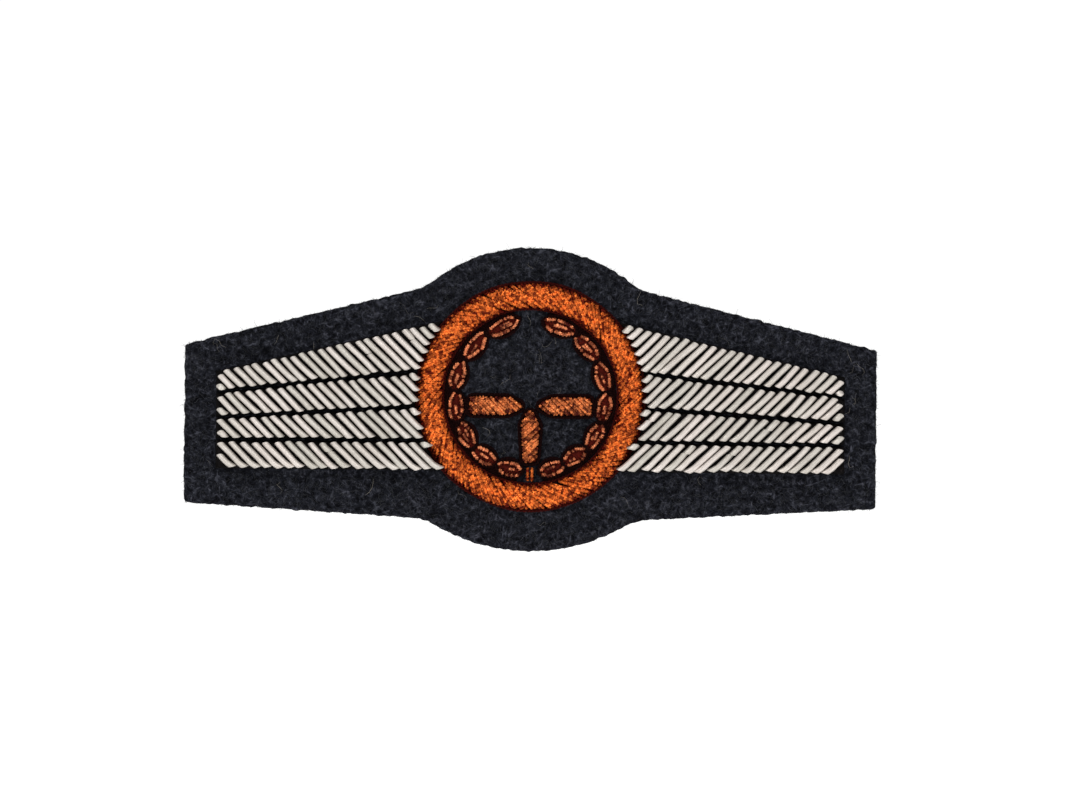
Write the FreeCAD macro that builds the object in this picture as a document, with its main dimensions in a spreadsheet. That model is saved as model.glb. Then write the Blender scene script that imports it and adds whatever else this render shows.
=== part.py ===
"""Embroidered bullion wings badge with two tack posts and butterfly clutches.

Frame: +X is the viewer's right, +Z is up as worn, -Y is the face and +Y the garment.
The origin is on the back felt's rear face, behind the centre of the ring.
All sizes are millimetres and degrees, and all of them are in the sheet "Sizes".
"""
import FreeCAD, Part
import math
import os

import Sketcher

Vector = FreeCAD.Vector

# Each row is an alias, its value and what it measures.
SIZE_ROWS = [
    ("badge_span", 80.0, "width of the wool cloth, tip to tip"),
    ("tip_top", 5.7, "height of the wing tip's upper corner above the ring centre"),
    ("tip_bottom", 12.64, "depth of the wing tip's lower corner below the ring centre"),
    ("upper_slope_deg", 13.8, "rise of the upper edge towards the middle"),
    ("lower_slope_deg", 3.3, "fall of the lower edge towards the middle"),
    ("lobe_top", 17.2, "height of the round middle's top above the ring centre"),
    ("lobe_bottom", 17.9, "depth of the round middle's bottom below the ring centre"),
    ("lobe_joint_reach", 15.8, "where its upper and lower arcs meet, out from the middle"),
    ("lobe_joint_depth", 11.2, "where they meet, below the ring centre"),
    ("neck_fillet", 6.5, "hollow fillet between a wing edge and the round middle"),
    ("tip_fillet", 0.5, "rounding of the four tip corners"),
    ("wool_thickness", 1.2, "wool cloth"),
    ("buckram_thickness", 0.5, "stiffener behind the wool"),
    ("felt_thickness", 1.0, "felt that closes the back"),
    ("backing_inset", 0.5, "how far the buckram and the felt stay inside the wool's edge"),
    ("ring_inner_radius", 10.33, "inner edge of the copper ring"),
    ("ring_band", 2.6, "width of the copper ring"),
    ("ring_padding_inset", 0.45, "how far the padding stays inside each edge of the ring"),
    ("ring_padding_height", 0.6, "height of the ring's domed padding"),
    ("ring_stitch_width", 0.44, "diameter of one ring stitch"),
    ("ring_stitch_gap", 0.03, "least space between two ring stitches, at the inner edge"),
    ("ring_stitch_lift", 0.15, "space between a ring stitch and the padding's crown"),
    ("stitch_slant_deg", 40.0, "angle between a ring stitch and the ring's tangent"),
    ("outline_width", 0.4, "diameter of the cord along the ring's edges"),
    ("thread_width", 0.26, "diameter of the thread round leaves and blades"),
    ("thread_gap", 0.04, "clear space between neighbouring threads and purl"),
    ("bar_end", 36.0, "distance from the middle to a feather bar's outer end"),
    ("bar_root_tuck", 1.0, "how far a bar's straight root lies inside the ring's inner edge"),
    ("bar_gap", 0.8, "dark gap between neighbouring feather bars"),
    ("padding_gap", 0.15, "cut between neighbouring feather paddings"),
    ("padding_margin", 0.3, "how far the feather padding shows past the purl"),
    ("padding_height", 0.8, "height of the feather paddings"),
    ("line_0_end", 2.37, "height of the first bar's upper edge at the outer end"),
    ("line_0_slope_deg", 13.1, "its rise towards the ring"),
    ("line_1_end", 0.21, "height of the gap between bars one and two"),
    ("line_1_slope_deg", 6.36, "its rise towards the ring"),
    ("line_2_end", -2.75, "height of the gap between bars two and three"),
    ("line_2_slope_deg", 3.7, "its rise towards the ring"),
    ("line_3_end", -5.31, "height of the gap between bars three and four"),
    ("line_3_slope_deg", 0.32, "its rise towards the ring"),
    ("line_4_end", -8.35, "height of the fourth bar's lower edge at the outer end"),
    ("line_4_slope_deg", 0.0, "its rise towards the ring"),
    ("coil_width", 0.72, "outer diameter of a silver purl coil"),
    ("coil_pitch", 1.32, "distance from coil to coil along a bar"),
    ("coil_slant_deg", 44.5, "angle between a coil and the bar's length"),
    ("blade_padding_height", 0.5, "height of the propeller blades' padding"),
    ("blade_stitch_width", 0.44, "diameter of one blade stitch"),
    ("blade_stitch_pitch", 0.78, "distance from stitch to stitch along a blade"),
    ("blade_wreath_gap", 0.2, "space between a side blade's thread and the leaves' threads"),
    ("blade_tip", 1.0, "distance from the middle to a side blade's nose"),
    ("blade_nose", 0.6, "width of a blade's blunt nose"),
    ("blade_taper", 1.6, "length over which a blade narrows to its nose"),
    ("blade_width", 2.0, "width of a side blade"),
    ("blade_height", -1.1, "height of the side blades' centre line"),
    ("lower_blade_tip", -1.7, "height of the lower blade's nose"),
    ("lower_blade_width", 2.1, "greatest width of the lower blade"),
    ("lower_blade_foot", 1.5, "width of the lower blade's flat end"),
    ("leaf_count", 7, "leaves on each side of the wreath"),
    ("wreath_gap", 0.07, "space between the leaves' threads and the ring's inner cord"),
    ("first_leaf_gap", 0.28, "space between the lower blade's thread and the first leaf"),
    ("leaf_step_deg", 20.7, "angle from the first leaf to the second"),
    ("leaf_step_growth_deg", 1.15, "how much each further step grows"),
    ("leaf_gap", 0.67, "space from leaf to leaf along the wreath"),
    ("leaf_width", 1.76, "width of a leaf"),
    ("leaf_stroke_width", 0.46, "diameter of a leaf's two side strokes"),
    ("leaf_vein_width", 0.4, "diameter of a leaf's short middle stroke"),
    ("tie_ring_gap", 0.13, "space between the tie and the ring's inner cord"),
    ("tie_blade_gap", 0.3, "space between the tie and the lower blade's thread"),
    ("tie_length", 1.6, "length of the tie's purl strokes"),
    ("tie_spacing", 0.5, "distance between the tie's two strokes"),
    ("post_spacing", 44.0, "distance between the two tack posts"),
    ("post_height", -2.8, "height of the tack posts relative to the ring centre"),
    ("post_radius", 0.5, "shank of a tack post"),
    ("post_reach", 9.0, "how far a post stands out behind the felt"),
    ("post_point_length", 1.2, "length of the ground point"),
    ("post_tip_radius", 0.08, "flat left at the very tip"),
    ("post_neck_radius", 0.4, "radius of the neck behind the point"),
    ("post_neck_length", 0.6, "length of that neck"),
    ("post_head_radius", 4.0, "disc head between the layers"),
    ("post_head_thickness", 0.4, "thickness of the disc head"),
    ("head_clearance", 0.1, "space round the disc head in the felt"),
    ("felt_hole_clearance", 0.15, "space round the shank in the felt"),
    ("clutch_rest_gap", 2.2, "garment cloth held between the felt and a clutch"),
    ("clutch_radius", 5.7, "rim of the clutch base"),
    ("clutch_plate", 0.4, "thickness of the clutch base"),
    ("clutch_dish", 0.5, "how far the base's middle is dished away from the garment"),
    ("clutch_seat_margin", 0.5, "flat of the clutch base outside the cap"),
    ("clutch_rim_width", 0.4, "flat rim of the clutch base"),
    ("clutch_hole_clearance", 0.15, "space round the post in the base and in the cap"),
    ("cap_radius", 3.2, "outside of the clutch cap"),
    ("cap_wall", 0.35, "wall of the clutch cap"),
    ("cap_edge_fillet", 0.3, "rounding of the cap's outer edge"),
    ("slot_clearance", 0.2, "space beside a jaw in the cap's side slot"),
    ("slot_floor", 0.4, "height of the slots above the base"),
    ("slot_height", 1.4, "height of the slots themselves"),
    ("cap_roof", 0.6, "height of the cap's closed top above the slots"),
    ("wing_plate", 0.3, "thickness of the spring wings"),
    ("wing_level", 0.9, "height of the jaws above the base"),
    ("jaw_width", 3.0, "width of a wing inside the cap"),
    ("jaw_clearance", 0.03, "space between a jaw's notch and the post"),
    ("jaw_split", 0.12, "half the space between the two jaws"),
    ("ear_gap", 0.4, "space between the cap and the place where a wing bends up"),
    ("ear_reach", 2.6, "how far the ear goes outwards from the bend"),
    ("ear_rise", 3.2, "how far the ear rises from the bend"),
    ("ear_width", 5.0, "width of the ear"),
    ("ear_fillet", 1.8, "rounding of the ear's outer corners"),
]

doc = FreeCAD.newDocument("wings_badge")
sizes = doc.addObject("Spreadsheet::Sheet", "Sizes")
for row, (alias, value, meaning) in enumerate(SIZE_ROWS, start=1):
    sizes.set(f"A{row}", alias)
    sizes.set(f"B{row}", str(value))
    sizes.set(f"C{row}", meaning)
    sizes.setAlias(f"B{row}", alias)
doc.recompute()


def amount(formula):
    """The number that a formula of sheet aliases gives."""
    return float(sizes.evalExpression(formula))


# Formulas that several pieces share. Depths are measured forwards from the back face.
FELT_FRONT = "Sizes.felt_thickness"
BUCKRAM_FRONT = f"({FELT_FRONT} + Sizes.buckram_thickness)"
WOOL_FRONT = f"({BUCKRAM_FRONT} + Sizes.wool_thickness)"
RING_OUTER = "(Sizes.ring_inner_radius + Sizes.ring_band)"
RING_MIDDLE = "(Sizes.ring_inner_radius + Sizes.ring_band / 2)"
RING_CLEAR = f"({RING_OUTER} + Sizes.outline_width + Sizes.thread_gap)"
POST_HOLE = "(Sizes.post_radius + Sizes.felt_hole_clearance)"
CLUTCH_BORE = "(Sizes.post_radius + Sizes.clutch_hole_clearance)"
SEAT_BACK = "(Sizes.clutch_rest_gap + Sizes.clutch_dish + Sizes.clutch_plate)"
EAR_START = "(Sizes.cap_radius + Sizes.ear_gap)"
THREADED = "(Sizes.thread_gap + Sizes.thread_width)"
CORD_INSIDE = "(Sizes.ring_inner_radius - Sizes.outline_width)"
LEAF_RADIUS = f"({CORD_INSIDE} - Sizes.wreath_gap - {THREADED} - Sizes.leaf_width / 2)"
BLADE_END = f"({LEAF_RADIUS} - Sizes.leaf_width / 2 - 2 * {THREADED} - Sizes.blade_wreath_gap)"
TIE_FOOT = f"(Sizes.tie_ring_gap - {CORD_INSIDE})"
TIE_TOP = f"({TIE_FOOT} + Sizes.tie_length)"
LOWER_BLADE_END = f"({TIE_TOP} + Sizes.tie_blade_gap + {THREADED})"
SIDES = {"left": -1, "right": 1}


# ---------------------------------------------------------------- sketch helpers

def add_body(name):
    body = doc.addObject("PartDesign::Body", name)
    body.Label = name
    return body


def add_sketch(body, name, role, offset="0"):
    """A sketch on one of the body's origin planes, moved along the plane's normal."""
    plane = [item for item in body.Origin.OriginFeatures if item.Role == role][0]
    sketch = body.newObject("Sketcher::SketchObject", name)
    sketch.AttachmentSupport = (plane, [""])
    sketch.MapMode = "FlatFace"
    sketch.setExpression("AttachmentOffset.Base.z", offset)
    return sketch


def bind(sketch, constraint, formula):
    index = sketch.addConstraint(constraint)
    sketch.setExpression(f"Constraints[{index}]", formula)


def bind_point(sketch, geometry, position, point):
    across, up = point
    horizontal = Sketcher.Constraint("DistanceX", -1, 1, geometry, position, amount(across))
    bind(sketch, horizontal, across)
    vertical = Sketcher.Constraint("DistanceY", -1, 1, geometry, position, amount(up))
    bind(sketch, vertical, up)


def draw_path(sketch, points, bulges=None):
    """A closed outline through points given as formulas.

    bulges gives a height formula for each side that is an arc; the arc swells to the
    right of the direction of travel.
    """
    bulges = bulges or {}
    places = [Vector(amount(across), amount(up), 0) for across, up in points]
    count = len(points)
    for side in range(count):
        start = places[side]
        end = places[(side + 1) % count]
        if side in bulges:
            height = amount(bulges[side])
            along = (end - start).normalize()
            outwards = Vector(along.y, -along.x, 0)
            middle = (start + end) / 2 + outwards * height
            sketch.addGeometry(Part.Arc(start, middle, end), False)
        else:
            sketch.addGeometry(Part.LineSegment(start, end), False)
    for side in range(count):
        following = (side + 1) % count
        end_of_side = end_position(sketch, side, places[following])
        start_of_next = 3 - end_position(sketch, following, places[(following + 1) % count])
        sketch.addConstraint(
            Sketcher.Constraint("Coincident", side, end_of_side, following, start_of_next))
        bind_point(sketch, following, start_of_next, points[following])
    for side, height in bulges.items():
        start = points[side]
        end = points[(side + 1) % count]
        chord_squared = f"(({end[0]} - {start[0]}) ^ 2 + ({end[1]} - {start[1]}) ^ 2)"
        radius = f"({chord_squared} / 4 + ({height}) ^ 2) / (2 * {height})"
        bind(sketch, Sketcher.Constraint("Radius", side, amount(radius)), radius)


def end_position(sketch, side, place):
    """1 or 2, whichever end of the side lies at the place."""
    return 2 if sketch.getPoint(side, 2).distanceToPoint(place) < 1e-6 else 1


def draw_circle(sketch, centre, radius):
    circle = Part.Circle(Vector(amount(centre[0]), amount(centre[1]), 0), Vector(0, 0, 1),
                         amount(radius))
    index = sketch.addGeometry(circle, False)
    bind_point(sketch, index, 3, centre)
    bind(sketch, Sketcher.Constraint("Radius", index, amount(radius)), radius)


def pad(body, name, sketch, length, midplane=False):
    feature = body.newObject("PartDesign::Pad", name)
    feature.Profile = sketch
    if midplane:
        feature.SideType = "Symmetric"
    feature.setExpression("Length", length)
    return feature


def pocket(body, name, sketch, depth, midplane=False):
    """Cuts a sketch out, and stops the build if nothing was cut."""
    doc.recompute()
    before = body.Shape.Volume
    feature = body.newObject("PartDesign::Pocket", name)
    feature.Profile = sketch
    if midplane:
        feature.SideType = "Symmetric"
    feature.setExpression("Length", depth)
    doc.recompute()
    if body.Shape.Volume >= before:
        raise RuntimeError(f"{body.Label}: {name} cuts nothing")
    return feature


def revolve(body, name, sketch):
    feature = body.newObject("PartDesign::Revolution", name)
    feature.Profile = sketch
    feature.ReferenceAxis = (sketch, ["V_Axis"])
    feature.Angle = 360
    return feature


def fillet_edges(body, name, radius, chosen):
    """Rounds the edges that the function chosen accepts."""
    doc.recompute()
    names = [f"Edge{number}" for number, edge in enumerate(body.Shape.Edges, start=1)
             if chosen(edge)]
    if not names:
        raise RuntimeError(f"{body.Label}: {name} finds no edge")
    base = body.Tip
    feature = body.newObject("PartDesign::Fillet", name)
    feature.Base = (base, names)
    feature.setExpression("Radius", radius)
    doc.recompute()


# ---------------------------------------------------------------- stitch helpers

def face_point(across, up, depth):
    """A point given as seen from the front, depth forwards of the back face."""
    return Vector(across, -depth, up)


def capsule(start, end, radius):
    """A round-ended rod whose two tips are start and end."""
    length = (end - start).Length
    quarter = radius * math.sqrt(0.5)
    low_tip = Vector(0, 0, 0)
    low_side = Vector(radius, 0, radius)
    high_side = Vector(radius, 0, length - radius)
    high_tip = Vector(0, 0, length)
    low_middle = Vector(quarter, 0, radius - quarter)
    high_middle = Vector(quarter, 0, length - radius + quarter)
    edges = [
        Part.Arc(low_tip, low_middle, low_side).toShape(),
        Part.LineSegment(low_side, high_side).toShape(),
        Part.Arc(high_side, high_middle, high_tip).toShape(),
        Part.LineSegment(high_tip, low_tip).toShape(),
    ]
    solid = Part.Face(Part.Wire(edges)).revolve(low_tip, Vector(0, 0, 1), 360)
    turn = FreeCAD.Rotation(Vector(0, 0, 1), end - start)
    solid.Placement = FreeCAD.Placement(start, turn)
    return solid


def bowed_stroke(start, end, bulge, height, radius):
    """A rod of round section along an arc that swells by height towards bulge."""
    chord = end - start
    half = chord.Length / 2
    bend = (half * half + height * height) / (2 * height)
    centre = (start + end) / 2 + bulge * (height - bend)
    axis = (start - centre).cross(end - centre).normalize()
    heading = axis.cross(start - centre).normalize()
    section = Part.Face(Part.Wire(Part.Circle(start, heading, radius).toShape()))
    sweep = math.degrees(2 * math.asin(half / bend))
    return section.revolve(centre, axis, sweep)


def stretch_inside(origin, heading, outline):
    """The lowest and highest distance along a line that is inside a convex outline.

    outline is a list of (x, z) points, anticlockwise. None means the line misses it.
    """
    low, high = -1e9, 1e9
    for corner, following in zip(outline, outline[1:] + outline[:1]):
        edge = (following[0] - corner[0], following[1] - corner[1])
        across = edge[0] * heading[1] - edge[1] * heading[0]
        side = edge[0] * (origin[1] - corner[1]) - edge[1] * (origin[0] - corner[0])
        if abs(across) < 1e-9:
            if side < 0:
                return None
        elif across > 0:
            low = max(low, -side / across)
        else:
            high = min(high, -side / across)
    return (low, high) if high > low else None


def stitch_row(outline, pitch, slant_deg, width, depth, keep_out=0.0):
    """Parallel round-ended stitches that fill an outline, clear of a circle at the middle."""
    slant = math.radians(slant_deg)
    heading = (math.cos(slant), math.sin(slant))
    radius = width / 2
    lowest = min(corner[0] for corner in outline)
    highest = max(corner[0] for corner in outline)
    tallest = max(abs(corner[1]) for corner in outline)
    reach = tallest / abs(math.tan(slant)) + pitch
    first = math.floor((lowest - reach) / pitch)
    last = math.ceil((highest + reach) / pitch)
    stitches = []
    for index in range(first, last + 1):
        origin = ((index + 0.5) * pitch, 0.0)
        inside = stretch_inside(origin, heading, outline)
        if inside is None:
            continue
        low, high = inside
        if keep_out:
            low, high = stretch_outside(origin, heading, low, high, keep_out + radius)
        if high - low < 1.6 * width:
            continue
        ends = [face_point(origin[0] + heading[0] * distance, origin[1] + heading[1] * distance,
                           depth) for distance in (low, high)]
        stitches.append(capsule(ends[0], ends[1], radius))
    return stitches


def stretch_outside(origin, heading, low, high, radius):
    """Shortens a stretch of a line so that it stays outside a circle at the middle."""
    along = origin[0] * heading[0] + origin[1] * heading[1]
    beyond = along * along - origin[0] ** 2 - origin[1] ** 2 + radius * radius
    if beyond <= 0:
        return low, high
    entry = -along - math.sqrt(beyond)
    leave = -along + math.sqrt(beyond)
    if low < entry and entry - low >= high - leave:
        return low, min(high, entry)
    return max(low, leave), high


def add_group(name, solids):
    """One node that holds a group of separate solids."""
    feature = doc.addObject("Part::Feature", name)
    feature.Label = name
    feature.Shape = Part.makeCompound(solids)
    feature.Placement = FreeCAD.Placement()
    return feature


# ---------------------------------------------------------------- cloth layers

def winged_layer(name, inset, back, thickness):
    """A layer with the badge's outline: two straight-edged wings and a round middle."""
    body = add_body(name)
    half = f"(Sizes.badge_span / 2 - {inset})"
    upper_tip = f"(Sizes.tip_top - {inset} / cos(Sizes.upper_slope_deg)" \
                f" + {inset} * tan(Sizes.upper_slope_deg))"
    lower_tip = f"(-Sizes.tip_bottom + {inset} / cos(Sizes.lower_slope_deg)" \
                f" - {inset} * tan(Sizes.lower_slope_deg))"
    apex = f"{upper_tip} + {half} * tan(Sizes.upper_slope_deg)"
    nadir = f"{lower_tip} - {half} * tan(Sizes.lower_slope_deg)"
    wings = add_sketch(body, f"{name}_wings_sketch", "XZ_Plane", back)
    draw_path(wings, [
        (f"-{half}", lower_tip), ("0", nadir), (half, lower_tip),
        (half, upper_tip), ("0", apex), (f"-{half}", upper_tip),
    ])
    pad(body, f"{name}_wings", wings, thickness)
    middle = add_sketch(body, f"{name}_middle_sketch", "XZ_Plane", back)
    reach = f"(Sizes.lobe_joint_reach - {inset})"
    draw_path(middle, [
        (f"-{reach}", "-Sizes.lobe_joint_depth"), (reach, "-Sizes.lobe_joint_depth"),
    ], {
        0: f"(Sizes.lobe_bottom - Sizes.lobe_joint_depth - {inset})",
        1: f"(Sizes.lobe_top + Sizes.lobe_joint_depth - {inset})",
    })
    pad(body, f"{name}_middle", middle, thickness)
    tip = amount(half)

    def straight_through(edge):
        first, last = edge.Vertexes[0].Point, edge.Vertexes[-1].Point
        return abs(abs(first.y - last.y) - amount(thickness)) < 1e-6

    def at_tip(edge):
        return straight_through(edge) and abs(abs(edge.Vertexes[0].X) - tip) < 1e-6

    def at_neck(edge):
        return straight_through(edge) and 1.0 < abs(edge.Vertexes[0].X) < tip - 1.0

    fillet_edges(body, f"{name}_necks", f"Sizes.neck_fillet + {inset}", at_neck)
    fillet_edges(body, f"{name}_tips", "Sizes.tip_fillet", at_tip)
    return body


def make_back_felt():
    """The felt takes each post's head in a pocket and lets the shank through a hole."""
    felt = winged_layer("back_felt", "Sizes.backing_inset", "0", "Sizes.felt_thickness")
    for side, sign in SIDES.items():
        centre = (f"{sign} * Sizes.post_spacing / 2", "Sizes.post_height")
        head = add_sketch(felt, f"felt_{side}_head_sketch", "XZ_Plane", FELT_FRONT)
        draw_circle(head, centre, "Sizes.post_head_radius + Sizes.head_clearance")
        pocket(felt, f"felt_{side}_head_pocket", head, "Sizes.post_head_thickness")
        hole = add_sketch(felt, f"felt_{side}_hole_sketch", "XZ_Plane", FELT_FRONT)
        draw_circle(hole, centre, POST_HOLE)
        pocket(felt, f"felt_{side}_hole", hole, "2 * Sizes.felt_thickness")


# ---------------------------------------------------------------- ring

def make_ring():
    padding = add_body("ring_padding")
    profile = add_sketch(padding, "ring_padding_sketch", "XY_Plane")
    inner = "(Sizes.ring_inner_radius + Sizes.ring_padding_inset)"
    outer = f"({RING_OUTER} - Sizes.ring_padding_inset)"
    draw_path(profile, [(inner, f"-{WOOL_FRONT}"), (outer, f"-{WOOL_FRONT}")],
              {0: "Sizes.ring_padding_height"})
    revolve(padding, "ring_padding_turn", profile)

    radius = amount("Sizes.ring_stitch_width / 2")
    slant = math.radians(amount("Sizes.stitch_slant_deg"))
    foot = amount(WOOL_FRONT) + radius
    crown = amount(f"{WOOL_FRONT} + Sizes.ring_padding_height + Sizes.ring_stitch_lift") + radius
    half = (amount("Sizes.ring_band / 2") - radius) / math.sin(slant)
    middle = amount(RING_MIDDLE)
    inner_edge = amount("Sizes.ring_inner_radius") + radius
    room = 2 * math.pi * inner_edge * math.sin(slant)
    count = math.floor(room / (2 * radius + amount("Sizes.ring_stitch_gap")))
    stitches = []
    for index in range(count):
        around = 2 * math.pi * index / count
        heading = around + math.pi / 2 - slant
        centre = (middle * math.cos(around), middle * math.sin(around))
        ends = [face_point(centre[0] + sign * half * math.cos(heading),
                           centre[1] + sign * half * math.sin(heading), foot)
                for sign in (-1, 1)]
        stitches.append(bowed_stroke(ends[0], ends[1], Vector(0, -1, 0), crown - foot, radius))
    add_group("ring_purl", stitches)

    add_cord_ring("ring_outer_outline", f"{RING_OUTER} + Sizes.outline_width / 2")
    add_cord_ring("ring_inner_outline", "Sizes.ring_inner_radius - Sizes.outline_width / 2")


def add_cord_ring(name, radius):
    cord = doc.addObject("Part::Torus", name)
    cord.Label = name
    cord.setExpression("Radius1", radius)
    cord.setExpression("Radius2", "Sizes.outline_width / 2")
    cord.Placement = FreeCAD.Placement(Vector(0, 0, 0), FreeCAD.Rotation(Vector(1, 0, 0), 90))
    cord.setExpression("Placement.Base.y", f"-({WOOL_FRONT} + Sizes.outline_width / 2)")


# ---------------------------------------------------------------- wings

def line_height(line, across, shift="0"):
    """Height formula of a feather line at a distance from the middle, moved by shift."""
    end = f"Sizes.line_{line}_end"
    rise = f"(Sizes.bar_end - {across}) * tan(Sizes.line_{line}_slope_deg)"
    return f"({end} + {rise} + {shift})"


def bar_outline(bar, end, upper_shift, lower_shift):
    """Corner formulas of a bar on the right wing, anticlockwise."""
    root = "(Sizes.ring_inner_radius - Sizes.bar_root_tuck)"
    upper, lower = bar - 1, bar
    return [
        (root, line_height(lower, root, lower_shift)),
        (end, line_height(lower, end, lower_shift)),
        (end, line_height(upper, end, upper_shift)),
        (root, line_height(upper, root, upper_shift)),
    ]


def make_feather_bar(side, sign, bar):
    first, last = bar == 1, bar == 4
    padding = add_body(f"{side}_feather_padding_{bar}")
    outline = bar_outline(
        bar, "(Sizes.bar_end + Sizes.padding_margin)",
        "Sizes.padding_margin" if first else "-Sizes.padding_gap / 2",
        "-Sizes.padding_margin" if last else "Sizes.padding_gap / 2")
    sketch = add_sketch(padding, f"{side}_padding_{bar}_sketch", "XZ_Plane", WOOL_FRONT)
    mirrored = [(f"{sign} * {across}", up) for across, up in outline]
    draw_path(sketch, mirrored)
    pad(padding, f"{side}_padding_{bar}_pad", sketch, "Sizes.padding_height")
    trim = add_sketch(padding, f"{side}_padding_{bar}_trim_sketch", "XZ_Plane",
                      f"{WOOL_FRONT} + Sizes.padding_height")
    draw_circle(trim, ("0", "0"), RING_CLEAR)
    pocket(padding, f"{side}_padding_{bar}_trim", trim, "2 * Sizes.padding_height")

    purl = bar_outline(
        bar, "Sizes.bar_end",
        "0" if first else "-Sizes.bar_gap / 2",
        "0" if last else "Sizes.bar_gap / 2")
    corners = [(amount(across), amount(up)) for across, up in purl]
    depth = amount(f"{WOOL_FRONT} + Sizes.padding_height + Sizes.coil_width / 2")
    coils = stitch_row(corners, amount("Sizes.coil_pitch"), amount("Sizes.coil_slant_deg"),
                       amount("Sizes.coil_width"), depth, amount(RING_CLEAR))
    if sign < 0:
        coils = [coil.mirror(Vector(0, 0, 0), Vector(1, 0, 0)) for coil in coils]
    add_group(f"{side}_feather_purl_{bar}", coils)


# ---------------------------------------------------------------- propeller

def blade_outlines():
    """Corner formulas of the three blades, anticlockwise."""
    level = "Sizes.blade_height"
    half = "Sizes.blade_width / 2"
    nose = "Sizes.blade_nose / 2"
    shoulder = "(Sizes.blade_tip + Sizes.blade_taper)"
    right = [
        ("Sizes.blade_tip", f"{level} - {nose}"),
        (shoulder, f"{level} - {half}"),
        (BLADE_END, f"{level} - {half}"),
        (BLADE_END, f"{level} + {half}"),
        (shoulder, f"{level} + {half}"),
        ("Sizes.blade_tip", f"{level} + {nose}"),
    ]
    left = [(f"-{across}", up) for across, up in reversed(right)]
    broad = "(Sizes.lower_blade_tip - Sizes.blade_taper)"
    lower = [
        (f"-{nose}", "Sizes.lower_blade_tip"),
        ("-Sizes.lower_blade_width / 2", broad),
        ("-Sizes.lower_blade_foot / 2", LOWER_BLADE_END),
        ("Sizes.lower_blade_foot / 2", LOWER_BLADE_END),
        ("Sizes.lower_blade_width / 2", broad),
        (nose, "Sizes.lower_blade_tip"),
    ]
    return {"left": left, "right": right, "lower": lower}


def make_blade(name, outline):
    padding = add_body(f"{name}_blade_padding")
    sketch = add_sketch(padding, f"{name}_blade_sketch", "XZ_Plane", WOOL_FRONT)
    draw_path(sketch, outline)
    pad(padding, f"{name}_blade_pad", sketch, "Sizes.blade_padding_height")

    corners = [(amount(across), amount(up)) for across, up in outline]
    depth = amount(f"{WOOL_FRONT} + Sizes.blade_padding_height + Sizes.blade_stitch_width / 2")
    stitches = stitch_row(corners, amount("Sizes.blade_stitch_pitch"),
                          -amount("Sizes.coil_slant_deg") if name != "lower"
                          else amount("Sizes.coil_slant_deg"),
                          amount("Sizes.blade_stitch_width"), depth)
    add_group(f"{name}_blade_purl", stitches)

    thread = amount("Sizes.thread_width")
    away = thread / 2 + amount("Sizes.thread_gap")
    around = moved_out(corners, away)
    level = amount(WOOL_FRONT) + thread / 2
    route = Part.makePolygon([face_point(x, z, level) for x, z in around + around[:1]])
    start, following = around[0], around[1]
    heading = face_point(following[0] - start[0], following[1] - start[1], 0)
    section = Part.Wire(Part.Circle(face_point(start[0], start[1], level), heading,
                                    thread / 2).toShape())
    right_corner = 1
    loop = route.makePipeShell([section], True, False, right_corner)
    add_group(f"{name}_blade_outline", [loop])


def moved_out(corners, distance):
    """A convex anticlockwise outline moved outwards by a distance, its points mitred."""
    moved = []
    count = len(corners)
    for index in range(count):
        before, here, after = corners[index - 1], corners[index], corners[(index + 1) % count]
        first = outward(before, here)
        second = outward(here, after)
        scale = distance / (1 + first[0] * second[0] + first[1] * second[1])
        moved.append((here[0] + (first[0] + second[0]) * scale,
                      here[1] + (first[1] + second[1]) * scale))
    return moved


def outward(start, end):
    along, up = end[0] - start[0], end[1] - start[1]
    length = math.hypot(along, up)
    return up / length, -along / length


# ---------------------------------------------------------------- wreath

def leaf_length(number):
    """Each leaf fills its share of the wreath but for the gap to the next."""
    share = amount("Sizes.leaf_step_deg")
    share += amount("Sizes.leaf_step_growth_deg") * (number - 1.5)
    return amount(LEAF_RADIUS) * math.radians(share) - amount("Sizes.leaf_gap")


def leaf_frame(sign, number):
    """Centre, heading and outward direction of a leaf; the heading runs up the wreath."""
    steps = number - 1
    foot = amount(f"Sizes.lower_blade_foot / 2 + {THREADED} + Sizes.first_leaf_gap")
    turn = (foot + leaf_length(1) / 2) / amount(LEAF_RADIUS)
    turn += math.radians(steps * amount("Sizes.leaf_step_deg")
                         + amount("Sizes.leaf_step_growth_deg") * steps * (steps - 1) / 2)
    around = sign * turn - math.pi / 2
    outwards = Vector(math.cos(around), 0, math.sin(around))
    heading = Vector(-sign * math.sin(around), 0, sign * math.cos(around))
    return outwards * amount(LEAF_RADIUS), heading, outwards


def lens(centre, heading, outwards, length, width, thread, depth, end_gap):
    """Two bowed strokes that face each other, as a leaf's sides or its outline."""
    end_half = thread / 2 + end_gap
    bow = width / 2 - thread / 2 - end_half
    strokes = []
    level = Vector(0, -depth, 0)
    for sign in (-1, 1):
        bulge = outwards * sign
        shift = centre + level + bulge * end_half
        start = shift - heading * (length / 2)
        end = shift + heading * (length / 2)
        strokes.append(bowed_stroke(start, end, bulge, bow, thread / 2))
    return strokes


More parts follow.
